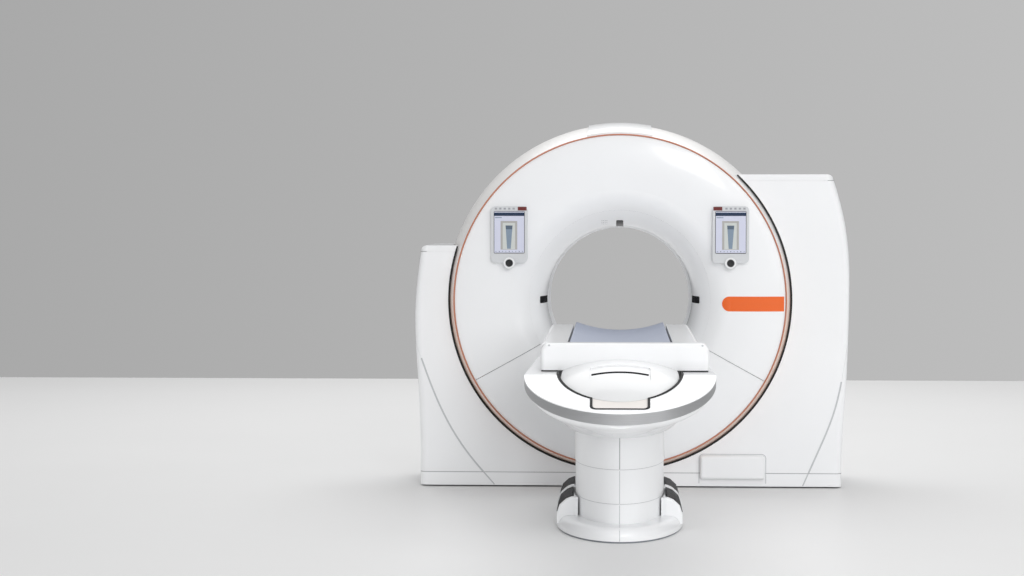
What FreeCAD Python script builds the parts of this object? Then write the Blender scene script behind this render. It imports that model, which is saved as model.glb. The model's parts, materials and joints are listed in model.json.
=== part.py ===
import FreeCAD, Part
import Sketcher
import math
import os
import types

# A floor-standing computed tomography scanner: a tilting drum with a patient
# bore between two cabinets, and a patient table on a telescopic column.
# Frame: +Z up, +X to the right seen from the table's foot end, +Y from the
# table into the bore.  The origin is on the floor below the isocentre.
# All lengths are millimetres and all angles are degrees.

SIZES = [
    # the drum and its bore
    ("floor_gap", 50, "lowest point of the drum's opening above the floor"),
    ("drum_radius", 962, "ball that the drum's rim follows, centred on the isocentre"),
    ("drum_depth", 684, "rim from its front edge to its rear edge"),
    ("cover_wall", 6, "thickness of the moulded covers"),
    ("bore_dia", 780, "clear diameter of the patient bore at its rear"),
    ("mouth_dia", 800, "bore diameter where the funnel ends"),
    ("mouth_depth", 65, "mouth of the bore in front of the isocentre"),
    ("funnel_radius", 600, "radius where the funnel meets the front cover"),
    ("front_rise", 20, "front cover at the funnel's edge, in front of the rim's edge"),
    ("crown_rise", 6, "most forward ring of the front cover, in front of that"),
    ("crown_radius", 740, "radius of that ring"),
    ("tunnel_end", 235, "rear end of the bore tunnel behind the isocentre"),
    ("rear_funnel_radius", 560, "radius where the rear funnel meets the rear cover"),
    ("rear_rise", 18, "rear cover at the funnel's edge, behind the rim's edge"),
    ("mouth_ring_radius", 490, "seam between the mouth ring and the front covers"),
    ("window_width", 60, "width of the thin window that the beam passes"),
    ("accent_wire", 8, "thickness of the coloured ring"),
    ("seam_gap", 3, "open seam between the front covers"),
    ("seam_angle", 29, "fall of that seam below the horizontal"),
    ("seat_gap", 0.3, "clearance between pieces that seat on each other"),
    ("cap_height", 10, "rim cap above the rim"),
    ("cap_width", 356, "rim cap from end to end"),
    ("strip_inner", 551, "inner end of the name strip from the axis"),
    ("strip_low", -55, "lower edge of the name strip from the axis"),
    ("strip_height", 80, "height of the name strip"),
    ("strip_proud", 1.5, "name strip above the front cover"),
    ("panel_across", 595, "centre of a control panel from the axis"),
    ("panel_width", 196, "width of a control panel"),
    ("panel_height", 306, "height of a control panel"),
    ("panel_low", 205, "lower edge of a control panel above the axis"),
    ("panel_stand", 28, "face of a control panel in front of the front cover's crown"),
    ("screen_width", 166, "width of the touch screen"),
    ("screen_height", 228, "height of the touch screen"),
    ("screen_low", 52, "screen above the panel's lower edge"),
    ("knob_boss", 33, "radius of the boss round the knob"),
    ("knob_radius", 19.5, "radius of the push knob"),
    ("knob_travel", 4, "travel of the push knob"),
    ("laser_side", 38, "side of a laser window"),
    ("laser_radius", 415, "centre of a laser window from the axis"),
    # the rotor and what carries it
    ("trunnion_radius", 50, "tilt pins of the drum"),
    ("running_gap", 0.05, "clearance of a tilt pin in its bearing"),
    ("rotor_room", 38, "rotor plate inside the stator casting's outside"),
    ("rotor_bore", 432, "bore of the rotor plate"),
    ("rotor_plate", 25, "thickness of the rotor plate"),
    ("rotor_front", 100, "front face of the rotor plate behind the isocentre"),
    ("bearing_radius", 520, "split between the rings of the rotor bearing"),
    ("bearing_wall", 42, "radial size of each bearing ring"),
    ("bearing_width", 66, "width of the rotor bearing"),
    ("bearing_gap", 0.5, "gap between the rings of the rotor bearing"),
    ("stator_depth", 45, "thickness of the stator casting"),
    ("stator_room", 84, "stator casting inside the drum's ball"),
    ("shoulder_room", 52, "shoulder of a tilt pin inside the drum's ball"),
    ("block_height", 180, "height of the blocks that carry the tilt pins"),
    ("block_reach", 70, "front of those blocks before the tilt axis"),
    ("tube_radius", 110, "x-ray tube housing"),
    ("tube_length", 280, "length of the tube housing"),
    ("tube_centre", 640, "tube axis from the bore's axis"),
    ("detector_inner", 640, "inner face of the detector arc"),
    ("detector_thick", 110, "radial size of the detector arc"),
    ("detector_angle", 66, "angle that the detector arc covers"),
    # the cabinets
    ("front_face", 280, "front of the cabinets before the isocentre"),
    ("rear_face", 330, "rear of the cabinets behind the isocentre"),
    ("drum_gap", 8, "free gap round the drum"),
    ("lip_depth", 60, "return lip round the drum opening"),
    ("edge_round", 36, "rounding of the cabinets' upright edges"),
    ("left_wing", 118, "left cabinet's side beyond the drum's opening, at the floor"),
    ("left_bulge", 29, "left cabinet, how far it swells outward"),
    ("left_rise", 297, "top of the left cabinet above the bore's axis"),
    ("right_wing", 236, "right cabinet's side beyond the drum's opening, at the floor"),
    ("right_bulge", 39, "right cabinet, how far it swells outward"),
    ("right_rise", 683, "top of the right cabinet above the bore's axis"),
    ("cap_depth", 33, "height of the cabinet caps"),
    ("cover_low", 8, "covers above the floor"),
    ("sill", 11.3, "cover between the plinth and the drum's opening"),
    ("cover_seam", 0.5, "closed seam between cabinet covers"),
    ("front_slab", 90, "depth of the front surround"),
    ("beam_height", 80, "height of the base beams"),
    ("foot_height", 12, "height of the levelling feet"),
    ("foot_radius", 35, "radius of the levelling feet"),
    ("dock_width", 120, "width of the floor tongue that docks the table to the gantry"),
    ("dock_thick", 7.5, "thickness of that tongue"),
    ("dock_reach", 60, "end of that tongue behind the isocentre"),
    ("stand_room", 53, "free space between the drum and a stand"),
    ("stand_thick", 60, "thickness of a stand"),
    ("stand_foot", 440, "width of a stand at its foot"),
    ("stand_head", 150, "radius of a stand's head"),
    ("bearing_shell", 22, "wall of the tilt bearings"),
    ("gearbox_radius", 96, "radius of the tilt drive's gearbox"),
    ("gearbox_long", 64, "tilt drive's gearbox from the stand outward"),
    ("motor_wide", 124, "width of the tilt drive's motor"),
    ("motor_deep", 78, "motor's reach from the stand outward"),
    ("motor_drop", 285, "lower end of the motor below the tilt axis"),
    ("hatch_across", 438, "left end of the access cover from the middle"),
    ("hatch_low", 48, "lower edge of the access cover"),
    ("hatch_round", 16, "rounding of the access cover's edges"),
    ("hatch_width", 352, "width of the access cover"),
    ("hatch_height", 130, "height of the access cover"),
    ("hatch_proud", 34, "access cover in front of the cabinet"),
    # the table's column
    ("column_half", 216, "half width of the widest column sleeve"),
    ("column_nose", 2134, "front of the column before the isocentre"),
    ("column_nose_long", 497, "length of the column's rounded nose"),
    ("column_rear", 1030, "rear of the column before the isocentre"),
    ("column_rear_long", 150, "length of the column's rounded rear"),
    ("sleeve_wall", 3, "wall of a sleeve"),
    ("sleeve_gap", 0.5, "clearance between nested sleeves"),
    ("base_half", 302, "half width of the base cover"),
    ("base_nose", 2280, "front of the base cover"),
    ("base_nose_long", 610, "length of the base cover's nose"),
    ("base_rear", 980, "rear of the base cover"),
    ("base_top", 67, "top of the base cover"),
    ("base_round", 48, "rounding of the base cover's upper edge"),
    ("lower_seam", 161, "seam between the lower and the middle sleeve"),
    ("upper_seam", 321, "seam between the middle and the upper sleeve"),
    ("carrier_low", 468, "lower edge of the table carrier"),
    ("sleeve_lap", 24, "overlap of a sleeve with the next"),
    ("mast_width", 170, "outer width of the mast"),
    ("mast_wall", 8, "wall of a mast stage"),
    ("mast_gap", 0.5, "clearance between mast stages"),
    ("mast_place", 1550, "mast axis before the isocentre"),
    ("mast_first_top", 330, "top of the mast's fixed stage"),
    ("mast_second_low", 270, "lower end of the mast's second stage"),
    ("mast_second_top", 530, "top of the mast's second stage"),
    ("mast_third_low", 396, "lower end of the mast's third stage"),
    ("frame_depth", 95, "top of the mast below the carrier's top"),
    ("frame_half", 190, "half width of the carrier frame"),
    ("frame_plate", 30, "thickness of the carrier frame's plate"),
    ("rib_thick", 40, "thickness of the carrier frame's ribs"),
    ("plate_thick", 20, "base plate of the table"),
    # the table's carrier and top
    ("carrier_rear", 800, "head end of the carrier before the isocentre"),
    ("carrier_rear_half", 376, "half width of the carrier at its head end"),
    ("carrier_half", 416, "half width of the carrier at its widest"),
    ("carrier_wide", 2721, "place of that width before the isocentre"),
    ("carrier_nose", 3100, "tip of the nose before the isocentre"),
    ("deck_gap", 6, "open line between the deck and the carrier's top"),
    ("nose_drop", 130, "fall of the nose from there to its tip"),
    ("band_side", 35, "height of the metal band along the sides"),
    ("band_tip", 54, "height of the metal band at the tip"),
    ("band_thick", 4, "thickness of the metal band"),
    ("band_below", 5, "white edge above the band"),
    ("deck_half", 352, "half width of the deck"),
    ("deck_drop", 90, "top of the deck below the bore's axis"),
    ("deck_floor", 21, "thickness of the deck under the channel"),
    ("deck_round", 22, "rounding of the deck's upper edges"),
    ("deck_head", 1000, "head end of the deck before the isocentre"),
    ("end_face", 2537, "foot end of the deck before the isocentre"),
    ("end_thick", 95, "depth of the end cover's top"),
    ("end_left", 352, "end cover to the left of the middle"),
    ("end_right", 394, "end cover to the right of the middle"),
    ("end_corner", 36, "rounding of the end cover's upper corners"),
    ("end_round", 20, "rounding of the end cover's front edges"),
    ("channel_half", 235, "half width of the channel for the tabletop"),
    ("rail_height", 18, "slide rails from the channel's floor to the tabletop"),
    ("rail_width", 50, "width of a slide rail"),
    ("rail_across", 125, "middle of a slide rail from the middle of the table"),
    ("top_half", 229, "half width of the tabletop"),
    ("top_dip", 44, "hollow of the lying surface"),
    ("mat_thick", 18, "thickness of the mat"),
    ("top_flat", 170, "half width of the tabletop's flat underside"),
    ("top_core", 18, "thickness of the tabletop in its middle"),
    ("top_rim", 12, "thickness of the tabletop at its edges"),
    ("top_clear", 2, "gap between the tabletop's foot end and the end cover"),
    ("top_head", 720, "head end of the tabletop before the isocentre"),
    ("chin_half", 268, "half width of the end cover's chin"),
    ("chin_nose", 2985, "front of the chin before the isocentre"),
    ("chin_long", 305, "length of the chin's rounded front"),
    ("chin_rise", 55, "crown of the chin above the carrier's top"),
    ("dome_high", 300, "height of the ball that shapes the chin's crown"),
    ("dome_half", 460, "half width of that ball"),
    ("dome_long", 525, "half length of that ball"),
    ("chin_gap", 7, "gap round the chin"),
    ("grip_half", 132, "half width of the grip recess"),
    ("grip_front", 300, "front of the grip recess before the end face"),
    ("grip_rear", 150, "rear of the grip recess before the end face"),
    ("grip_deep", 6, "depth of the grip recess"),
    ("slot_width", 22, "width of the slot in the grip recess"),
    ("slot_deep", 40, "depth of that slot"),
    ("insert_half", 118, "half width of the nose insert"),
    ("insert_front", 3056, "front of the nose insert before the isocentre"),
    ("insert_round", 26, "rounding of the nose insert's corners"),
    ("pocket_depth", 46, "depth of the pocket under the chin"),
    ("keel_half", 30, "half width of the carrier's keel under the nose"),
    ("keel_rise", 90, "rise of the keel from the column to the nose"),
    ("keel_head_rise", 130, "rise of the keel from the column to the head end"),
    # the pedals
    ("pod_front", 1850, "front end of a pedal guard"),
    ("pod_rear", 1030, "rear end of a pedal guard"),
    ("pod_half", 298, "outside of a pedal guard"),
    ("pod_top", 155, "top of a pedal guard"),
    ("pod_gap", 1, "gap between a pedal guard and the widest sleeve"),
    ("pedal_long", 340, "length of a pedal"),
    ("pedal_thick", 22, "thickness of a pedal"),
    ("pedal_swing", 8, "swing of a pedal"),
    ("guard_wall", 30, "white strip at each end of a pedal"),
    ("pod_low", 30, "underside of a pedal guard"),
    ("pod_straight", 75, "upright lower part of a guard's side, below its top"),
    ("pedal_drop", 72, "lower edge of a pedal below the guard's top"),
]


class Dim:
    """A size that keeps its number and the sheet formula that gives it."""

    def __init__(self, value, text):
        self.value = float(value)
        self.text = text

    def __float__(self):
        return self.value

    def __neg__(self):
        return Dim(-self.value, "-(%s)" % self.text)

    def __add__(self, other):
        other = as_dim(other)
        return Dim(self.value + other.value, "(%s + %s)" % (self.text, other.text))

    def __sub__(self, other):
        other = as_dim(other)
        return Dim(self.value - other.value, "(%s - %s)" % (self.text, other.text))

    def __mul__(self, other):
        other = as_dim(other)
        return Dim(self.value * other.value, "(%s * %s)" % (self.text, other.text))

    def __truediv__(self, other):
        other = as_dim(other)
        return Dim(self.value / other.value, "(%s / %s)" % (self.text, other.text))

    def __radd__(self, other):
        return as_dim(other) + self

    def __rsub__(self, other):
        return as_dim(other) - self

    def __rmul__(self, other):
        return as_dim(other) * self


def as_dim(value):
    return value if isinstance(value, Dim) else Dim(value, repr(float(value)))


def leg(long_side, short_side):
    """The third side of a right triangle, from its longest side and one other."""
    long_side, short_side = as_dim(long_side), as_dim(short_side)
    return Dim(math.sqrt(long_side.value ** 2 - short_side.value ** 2),
               "sqrt(%s ^ 2 - %s ^ 2)" % (long_side.text, short_side.text))


doc = FreeCAD.newDocument("ct_scanner")
sheet = doc.addObject("Spreadsheet::Sheet", "Sizes")
for row, (alias, value, note) in enumerate(SIZES, 1):
    sheet.set("A%d" % row, alias)
    sheet.set("B%d" % row, str(value))
    sheet.set("C%d" % row, note)
    sheet.setAlias("B%d" % row, alias)
doc.recompute()
s = types.SimpleNamespace(**{alias: Dim(sheet.get(alias), "Sizes." + alias) for alias, _, _ in SIZES})

# sizes that follow from the ones above
half_depth = s.drum_depth / 2
opening = s.drum_radius + s.drum_gap
s.iso_height = s.floor_gap + opening
s.front_depth = half_depth + s.front_rise
s.front_crown = s.front_depth + s.crown_rise
s.rear_depth = half_depth + s.rear_rise
s.panel_front = s.front_crown + s.panel_stand
s.stator_radius = s.drum_radius - s.stator_room
s.rotor_radius = s.stator_radius - s.rotor_room
s.left_side = opening + s.left_wing
s.right_side = opening + s.right_wing
s.left_top = s.iso_height + s.left_rise
s.right_top = s.iso_height + s.right_rise
s.plinth_top = s.iso_height - leg(opening, s.front_face) - s.sill
s.stand_across = s.drum_radius + s.stand_room + s.stand_thick / 2
s.deck_top = s.iso_height - s.deck_drop
s.top_edge = s.deck_top - s.mat_thick - s.top_rim
s.top_under = s.deck_top - s.mat_thick - s.top_dip - s.top_core
s.channel_floor = s.top_under - s.rail_height
s.deck_low = s.channel_floor - s.deck_floor
s.carrier_top = s.deck_low - s.deck_gap
s.mast_top = s.carrier_top - s.frame_depth
s.top_foot = s.end_face - s.end_thick - s.top_clear

sub_parts = []


# ---- helpers ---------------------------------------------------------------

def vec(x, y, z):
    return FreeCAD.Vector(float(x), float(y), float(z))


def finish(item, label):
    """Give a sub-part its name and put it on the list to export."""
    item.Label = label
    sub_parts.append(item)
    return item


def bind(item, **sizes):
    """Tie properties to the sheet; two underscores stand for a dot in the property's path."""
    for name, value in sizes.items():
        item.setExpression(name.replace("__", "."), as_dim(value).text)
    return item


def place(item, x=0, y=0, z=0):
    return bind(item, Placement__Base__x=x, Placement__Base__y=y, Placement__Base__z=z)


def box(name, x, y, z, length, width, height):
    """A block from its lowest corner."""
    item = doc.addObject("Part::Box", name)
    bind(item, Length=length, Width=width, Height=height)
    return place(item, x, y, z)


def round_bar(name, axis, x, y, z, radius, height):
    """A cylinder from the middle of its first end, along axis X, Y or Z."""
    item = doc.addObject("Part::Cylinder", name)
    turn = {"X": (vec(0, 1, 0), 90), "Y": (vec(1, 0, 0), -90), "Z": (vec(0, 0, 1), 0)}[axis]
    item.Placement = FreeCAD.Placement(vec(0, 0, 0), FreeCAD.Rotation(*turn))
    bind(item, Radius=radius, Height=height)
    return place(item, x, y, z)


def fuse(name, shapes):
    item = doc.addObject("Part::MultiFuse", name)
    item.Shapes = shapes
    return item


def cut(name, base, tool):
    item = doc.addObject("Part::Cut", name)
    item.Base = base
    item.Tool = tool
    return item


def feature(label, shape, at=None, turn=0.0):
    """A sub-part whose shape is worked out below, turned about Y and put in place."""
    item = doc.addObject("Part::Feature", label)
    item.Shape = shape
    item.Placement = FreeCAD.Placement(at or vec(0, 0, 0), FreeCAD.Rotation(vec(0, 1, 0), turn))
    return finish(item, label)


def new_body(name):
    return doc.addObject("PartDesign::Body", name)


def sketch_on(body, role, name, offset=0):
    """An empty sketch on one of the body's own planes."""
    plane = [item for item in body.Origin.OriginFeatures if item.Role == role][0]
    sketch = body.newObject("Sketcher::SketchObject", name)
    sketch.AttachmentSupport = [(plane, "")]
    sketch.MapMode = "FlatFace"
    bind(sketch, AttachmentOffset__Base__z=offset)
    return sketch


def outline(sketch, points):
    """Draw a closed outline of straight lines, each corner tied to the sheet."""
    first = sketch.GeometryCount
    ends = [vec(u, v, 0) for u, v in points]
    for start, end in zip(ends, ends[1:] + ends[:1]):
        sketch.addGeometry(Part.LineSegment(start, end))
    for index, (u, v) in enumerate(points):
        line = first + index
        after = first + (index + 1) % len(points)
        sketch.addConstraint(Sketcher.Constraint("Coincident", line, 2, after, 1))
        for kind, value in (("DistanceX", as_dim(u)), ("DistanceY", as_dim(v))):
            number = sketch.addConstraint(Sketcher.Constraint(kind, -1, 1, line, 1, value.value))
            sketch.setExpression("Constraints[%d]" % number, value.text)


def circle(sketch, u, v, radius):
    """Draw a circle whose centre and radius are tied to the sheet."""
    ring = sketch.addGeometry(Part.Circle(vec(u, v, 0), vec(0, 0, 1), float(radius)))
    for kind, value in (("DistanceX", as_dim(u)), ("DistanceY", as_dim(v))):
        number = sketch.addConstraint(Sketcher.Constraint(kind, -1, 1, ring, 3, value.value))
        sketch.setExpression("Constraints[%d]" % number, value.text)
    radius = as_dim(radius)
    number = sketch.addConstraint(Sketcher.Constraint("Radius", ring, radius.value))
    sketch.setExpression("Constraints[%d]" % number, radius.text)


def add_pad(body, sketch, name, length):
    """A pad to both sides of its sketch."""
    pad = body.newObject("PartDesign::Pad", name)
    pad.Profile = sketch
    bind(pad, Length=length)
    pad.Midplane = True
    return pad


def add_pocket(body, sketch, name, length):
    """A pocket to both sides of its sketch."""
    pocket = body.newObject("PartDesign::Pocket", name)
    pocket.Profile = sketch
    bind(pocket, Length=length)
    pocket.Midplane = True
    return pocket


def turned(label, points, angle=360, start=0):
    """A body turned round the bore's axis; points are (radius, depth)."""
    body = new_body(label)
    sketch = sketch_on(body, "XY_Plane", label + "_profile")
    outline(sketch, points)
    turn = body.newObject("PartDesign::Revolution", label + "_turn")
    turn.Profile = sketch
    turn.ReferenceAxis = (sketch, ["V_Axis"])
    turn.Angle = angle
    body.Placement = FreeCAD.Placement(vec(0, 0, 0), FreeCAD.Rotation(vec(0, 1, 0), start))
    place(body, 0, 0, s.iso_height)
    return body


def mm(value):
    return float(value)


def face_of(edges):
    """A plane face from edges that close on themselves."""
    return Part.Face(Part.Wire(Part.__sortEdges__(edges)))


def polygon(points):
    return Part.makePolygon([vec(*p) for p in points] + [vec(*points[0])])


def prism(points, direction):
    """A solid from a flat outline pushed along a vector."""
    return Part.Face(polygon(points)).extrude(vec(*direction))


def slab(low, high):
    """A block between two corners, for cutting."""
    return Part.makeBox(*[high[i] - low[i] for i in range(3)], vec(*low))


# ---- steelwork that stands on the floor ------------------------------------

FAR = 4000.0        # larger than the scanner, for cutting tools only

left_inner = s.left_side - s.cover_wall - s.seat_gap
right_inner = s.right_side - s.cover_wall - s.seat_gap
beam_lap = 15           # beams reach in beyond the stands
beam_inner = s.stand_across - s.stand_thick / 2 - beam_lap
frame_front = s.front_face - s.edge_round
frame_rear = s.rear_face - s.edge_round
cross_width = 50
cross_height = 33
weld_lap = 10           # a cross member's end inside its beam
foot_inset = 45         # a foot's middle from the beam's end
dock_half = s.dock_width / 2
dock_thick = s.dock_thick


def make_base_frame():
    """Two side beams and two cross members welded together, with the lug that meets the table's tongue."""
    depth = frame_front + frame_rear
    cross_end = beam_inner + weld_lap
    pieces = [
        box("left_beam", -left_inner, -frame_front, s.foot_height, left_inner - beam_inner, depth, s.beam_height),
        box("right_beam", beam_inner, -frame_front, s.foot_height, right_inner - beam_inner, depth, s.beam_height),
        box("front_cross", -cross_end, -frame_front, s.foot_height, cross_end * 2, cross_width, cross_height),
        box("rear_cross", -cross_end, frame_rear - cross_width, s.foot_height, cross_end * 2, cross_width, cross_height),
        box("dock_lug", -dock_half, -frame_front, dock_thick, dock_half * 2, cross_width, s.foot_height - dock_thick + 1),
    ]
    finish(fuse("base_frame", pieces), "base_frame")


def make_levelling_feet():
    """Six round feet under the beams."""
    feet = []
    left, right = (left_inner + beam_inner) / 2, (right_inner + beam_inner) / 2
    for side, across in (("left", -left), ("right", right)):
        for spot, along in (("front", -frame_front + foot_inset), ("middle", 0), ("rear", frame_rear - foot_inset)):
            feet.append(round_bar("foot_%s_%s" % (side, spot), "Z", across, along, 0, s.foot_radius, s.foot_height))
    finish(fuse("levelling_feet", feet), "levelling_feet")


def make_stand(label, across):
    """An upright plate that widens to its foot, with a round head for the tilt bearing and two windows."""
    body = new_body(label)
    foot = s.foot_height + s.beam_height
    plate = sketch_on(body, "YZ_Plane", label + "_plate")
    outline(plate, [(-s.stand_foot / 2, foot), (s.stand_foot / 2, foot),
                    (s.stand_head, s.iso_height), (-s.stand_head, s.iso_height)])
    add_pad(body, plate, label + "_pad", s.stand_thick)
    head = sketch_on(body, "YZ_Plane", label + "_head")
    circle(head, 0, s.iso_height, s.stand_head)
    add_pad(body, head, label + "_head_pad", s.stand_thick)
    bore = sketch_on(body, "YZ_Plane", label + "_bore")
    circle(bore, 0, s.iso_height, s.trunnion_radius + s.bearing_shell)
    add_pocket(body, bore, label + "_bore_cut", s.stand_thick * 2)
    windows = sketch_on(body, "YZ_Plane", label + "_windows")
    wall, sill, bridge = 70, 88, 60      # steel left beside, below and between the windows
    slope = (s.stand_foot / 2 - s.stand_head) / (s.iso_height - foot)
    height = (s.iso_height - s.stand_head - foot - sill - 2 * bridge) / 2

    def half_at(level):
        return s.stand_foot / 2 - slope * (level - foot) - wall
    for low in (foot + sill, foot + sill + height + bridge):
        high = low + height
        outline(windows, [(-half_at(low), low), (half_at(low), low), (half_at(high), high), (-half_at(high), high)])
    add_pocket(body, windows, label + "_window_cut", s.stand_thick * 2)
    return place(body, across, 0, 0)


def make_stands():
    """The two uprights that carry the drum."""
    pair = [make_stand("left_stand", -s.stand_across), make_stand("right_stand", s.stand_across)]
    finish(fuse("tilt_stands", pair), "tilt_stands")


def make_trunnion_bearings():
    """A plain bearing ring in the head of each stand."""
    rings = []
    for side, start in (("left", -s.stand_across - s.stand_thick / 2), ("right", s.stand_across - s.stand_thick / 2)):
        name = "bearing_" + side
        shell = round_bar(name + "_shell", "X", start, 0, s.iso_height, s.trunnion_radius + s.bearing_shell, s.stand_thick)
        bore = round_bar(name + "_bore", "X", start - 1, 0, s.iso_height,
                         s.trunnion_radius + s.running_gap, s.stand_thick + 2)
        rings.append(cut(name, shell, bore))
    finish(fuse("trunnion_bearings", rings), "trunnion_bearings")


def make_tilt_gearmotor():
    """The flanged gear motor that turns the right tilt pin, bolted to the right stand's outer face."""
    start = s.stand_across + s.stand_thick / 2
    flange, lap, pin_clear, pin_space = 14, 20, 4, 34
    flange_radius = (s.stand_head + s.trunnion_radius + s.bearing_shell + lap) / 2 + lap / 2
    pieces = [
        round_bar("motor_flange", "X", start, 0, s.iso_height, flange_radius, flange),
        round_bar("motor_gearbox", "X", start + 1, 0, s.iso_height, s.gearbox_radius, s.gearbox_long - 1),
        box("motor_case", start + flange - 4, -s.motor_wide / 2, s.iso_height - s.motor_drop,
            s.motor_deep, s.motor_wide, s.motor_drop - s.gearbox_radius + lap * 1.5),
    ]
    solid = fuse("motor_solid", pieces)
    pin_room = round_bar("motor_pin_room", "X", start - 1, 0, s.iso_height, s.trunnion_radius + pin_clear, pin_space)
    finish(cut("tilt_gearmotor", solid, pin_room), "tilt_gearmotor")


# ---- the cabinets ----------------------------------------------------------

def spline(points, first=None, last=None):
    """A smooth curve through points, with its end directions where they are given."""
    curve = Part.BSplineCurve()
    if first:
        curve.interpolate(Points=[vec(*p) for p in points], InitialTangent=vec(*first), FinalTangent=vec(*last))
    else:
        curve.interpolate([vec(*p) for p in points])
    return curve.toShape()


def cabinet_block(inset, low, front, rear, round_by):
    """The space inside the cabinets' outline, moved inward by inset, with its upright edges rounded."""
    left, right = mm(s.left_side) - inset, mm(s.right_side) - inset
    swell_left, swell_right = mm(s.left_bulge), mm(s.right_bulge)
    high_left, high_right = mm(s.left_top) - inset, mm(s.right_top) - inset
    straight = mm(s.foot_height) + mm(s.beam_height) + 8       # the sides are upright as far as the beams go
    left_in, right_in = 6, 60                                  # how far each side leans in at its top
    left_edge = spline([(-left, front, straight), (-left - 0.35 * swell_left, front, 0.40 * high_left),
                        (-left - swell_left, front, 0.76 * high_left), (-left + left_in, front, high_left)],
                       (0, 0, 1), (0.14, 0, 1))
    right_edge = spline([(right, front, straight), (right + 0.45 * swell_right, front, 0.27 * high_right),
                         (right + swell_right, front, 0.60 * high_right),
                         (right + 0.28 * swell_right, front, 0.85 * high_right), (right - right_in, front, high_right)],
                        (0, 0, 1), (-0.36, 0, 1))
    lines = [((-left, front, low), (right, front, low)), ((-left + left_in, front, high_left), (0, front, high_left)),
             ((0, front, high_left), (0, front, high_right)),
             ((0, front, high_right), (right - right_in, front, high_right)),
             ((-left, front, low), (-left, front, straight)), ((right, front, low), (right, front, straight))]
    edges = [left_edge, right_edge] + [Part.LineSegment(vec(*a), vec(*b)).toShape() for a, b in lines]
    block = face_of(edges).extrude(vec(0, rear - front, 0))
    outside = mm(s.drum_radius) / 2
    sides = [edge for edge in block.Edges if edge.BoundBox.XMin > outside or edge.BoundBox.XMax < -outside]
    rounded = [edge for edge in sides if edge.BoundBox.YLength < 0.01 and edge.BoundBox.ZLength > 50
               or edge.BoundBox.YLength > 10 and edge.BoundBox.ZMin > mm(s.iso_height)]
    return block.makeFillet(round_by, rounded)


# the curved seams of the cabinets' front: angle below the bore's axis, and distance outside the drum's opening
LEFT_SEAM = ((0.8, 230), (14.0, 161), (25.7, 160), (37.7, 185), (50.8, 224), (58.4, 252))
RIGHT_SEAM = ((0.7, 390), (10.5, 291), (19.2, 306), (28.1, 343), (35.1, 373), (46.6, 462))


def seam_region(shift):
    """The part of the front between the two curved seams, as a prism along Y."""
    def seam(points, side):
        places = []
        for angle, beyond in points:
            reach, turn = mm(opening) + beyond, math.radians(angle)
            places.append((side * (reach * math.cos(turn) - shift), 0, mm(s.iso_height) - reach * math.sin(turn)))
        return spline(places)
    left, right = seam(LEFT_SEAM, -1), seam(RIGHT_SEAM, 1)
    a, b = left.Vertexes[0].Point, left.Vertexes[-1].Point
    c, d = right.Vertexes[-1].Point, right.Vertexes[0].Point
    top_left, top_right = vec(a.x, 0, FAR), vec(d.x, 0, FAR)
    lines = [(b, c), (d, top_right), (top_right, top_left), (top_left, a)]
    edges = [left, right] + [Part.LineSegment(p, q).toShape() for p, q in lines]
    face = face_of(edges)
    face.translate(vec(0, -FAR, 0))
    return face.extrude(vec(0, 2 * FAR, 0))


def make_cabinets():
    """The moulded covers of both cabinets: one hollow shell with a round opening for the drum, then its seams."""
    wall, gap = mm(s.cover_wall), mm(s.cover_seam)
    front, rear = -mm(s.front_face), mm(s.rear_face)
    iso = vec(0, 0, s.iso_height)
    outer = cabinet_block(0.0, mm(s.cover_low), front, rear, mm(s.edge_round))
    inner = cabinet_block(wall, 0.0, front + wall, rear - wall, mm(s.edge_round) - wall)
    ball = Part.makeSphere(mm(opening), iso, vec(0, 1, 0))
    lip = Part.makeSphere(mm(opening) + wall, iso, vec(0, 1, 0)).cut(ball).common(outer)
    deep = mm(s.lip_depth)
    low = mm(s.plinth_top)
    cap_left, cap_right = mm(s.left_top) - mm(s.cap_depth), mm(s.right_top) - mm(s.cap_depth)
    lip_zone = slab((-FAR, front, low), (FAR, front + deep, FAR)).fuse([
        slab((-FAR, rear - deep, low), (FAR, rear, FAR)),
        slab((-FAR, front, cap_left), (0, rear, FAR)), slab((0, front, cap_right), (FAR, rear, FAR))])
    shell = outer.cut(inner).cut(ball).fuse(lip.common(lip_zone))

    left_cap = slab((-FAR, -FAR, cap_left + gap / 2), (0, FAR, FAR))
    right_cap = slab((0, -FAR, cap_right + gap / 2), (FAR, FAR, FAR))
    feature("left_cap", shell.common(left_cap))
    feature("right_cap", shell.common(right_cap))

    side = mm(dock_half) + 2
    tongue_room = slab((-side, front - 1, 0), (side, front + 40, mm(dock_thick) + 2))
    feature("plinth", shell.common(slab((-FAR, -FAR, 0), (FAR, FAR, low - gap / 2))).cut(tongue_room))

    middle = slab((-FAR, -FAR, low + gap / 2), (0, FAR, cap_left - gap / 2)).fuse(
        slab((0, -FAR, low + gap / 2), (FAR, FAR, cap_right - gap / 2)))
    walls = shell.common(middle)
    front_zone = slab((-FAR, -FAR, -1), (FAR, front + mm(s.front_slab), FAR))
    front_gap = slab((-FAR, -FAR, -1), (FAR, front + mm(s.front_slab) + gap, FAR))
    rear_start = rear - mm(s.front_slab)
    feature("front_surround", walls.common(front_zone).common(seam_region(gap)))
    feature("rear_surround", walls.common(slab((-FAR, rear_start, -1), (FAR, FAR, FAR))))
    sides = walls.cut(front_gap.common(seam_region(0.0))).cut(slab((-FAR, rear_start - gap, -1), (FAR, FAR, FAR)))
    feature("left_side_cover", sides.common(slab((-FAR, -FAR, -1), (-100, FAR, FAR))))
    feature("right_side_cover", sides.common(slab((100, -FAR, -1), (FAR, FAR, FAR))))


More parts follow.
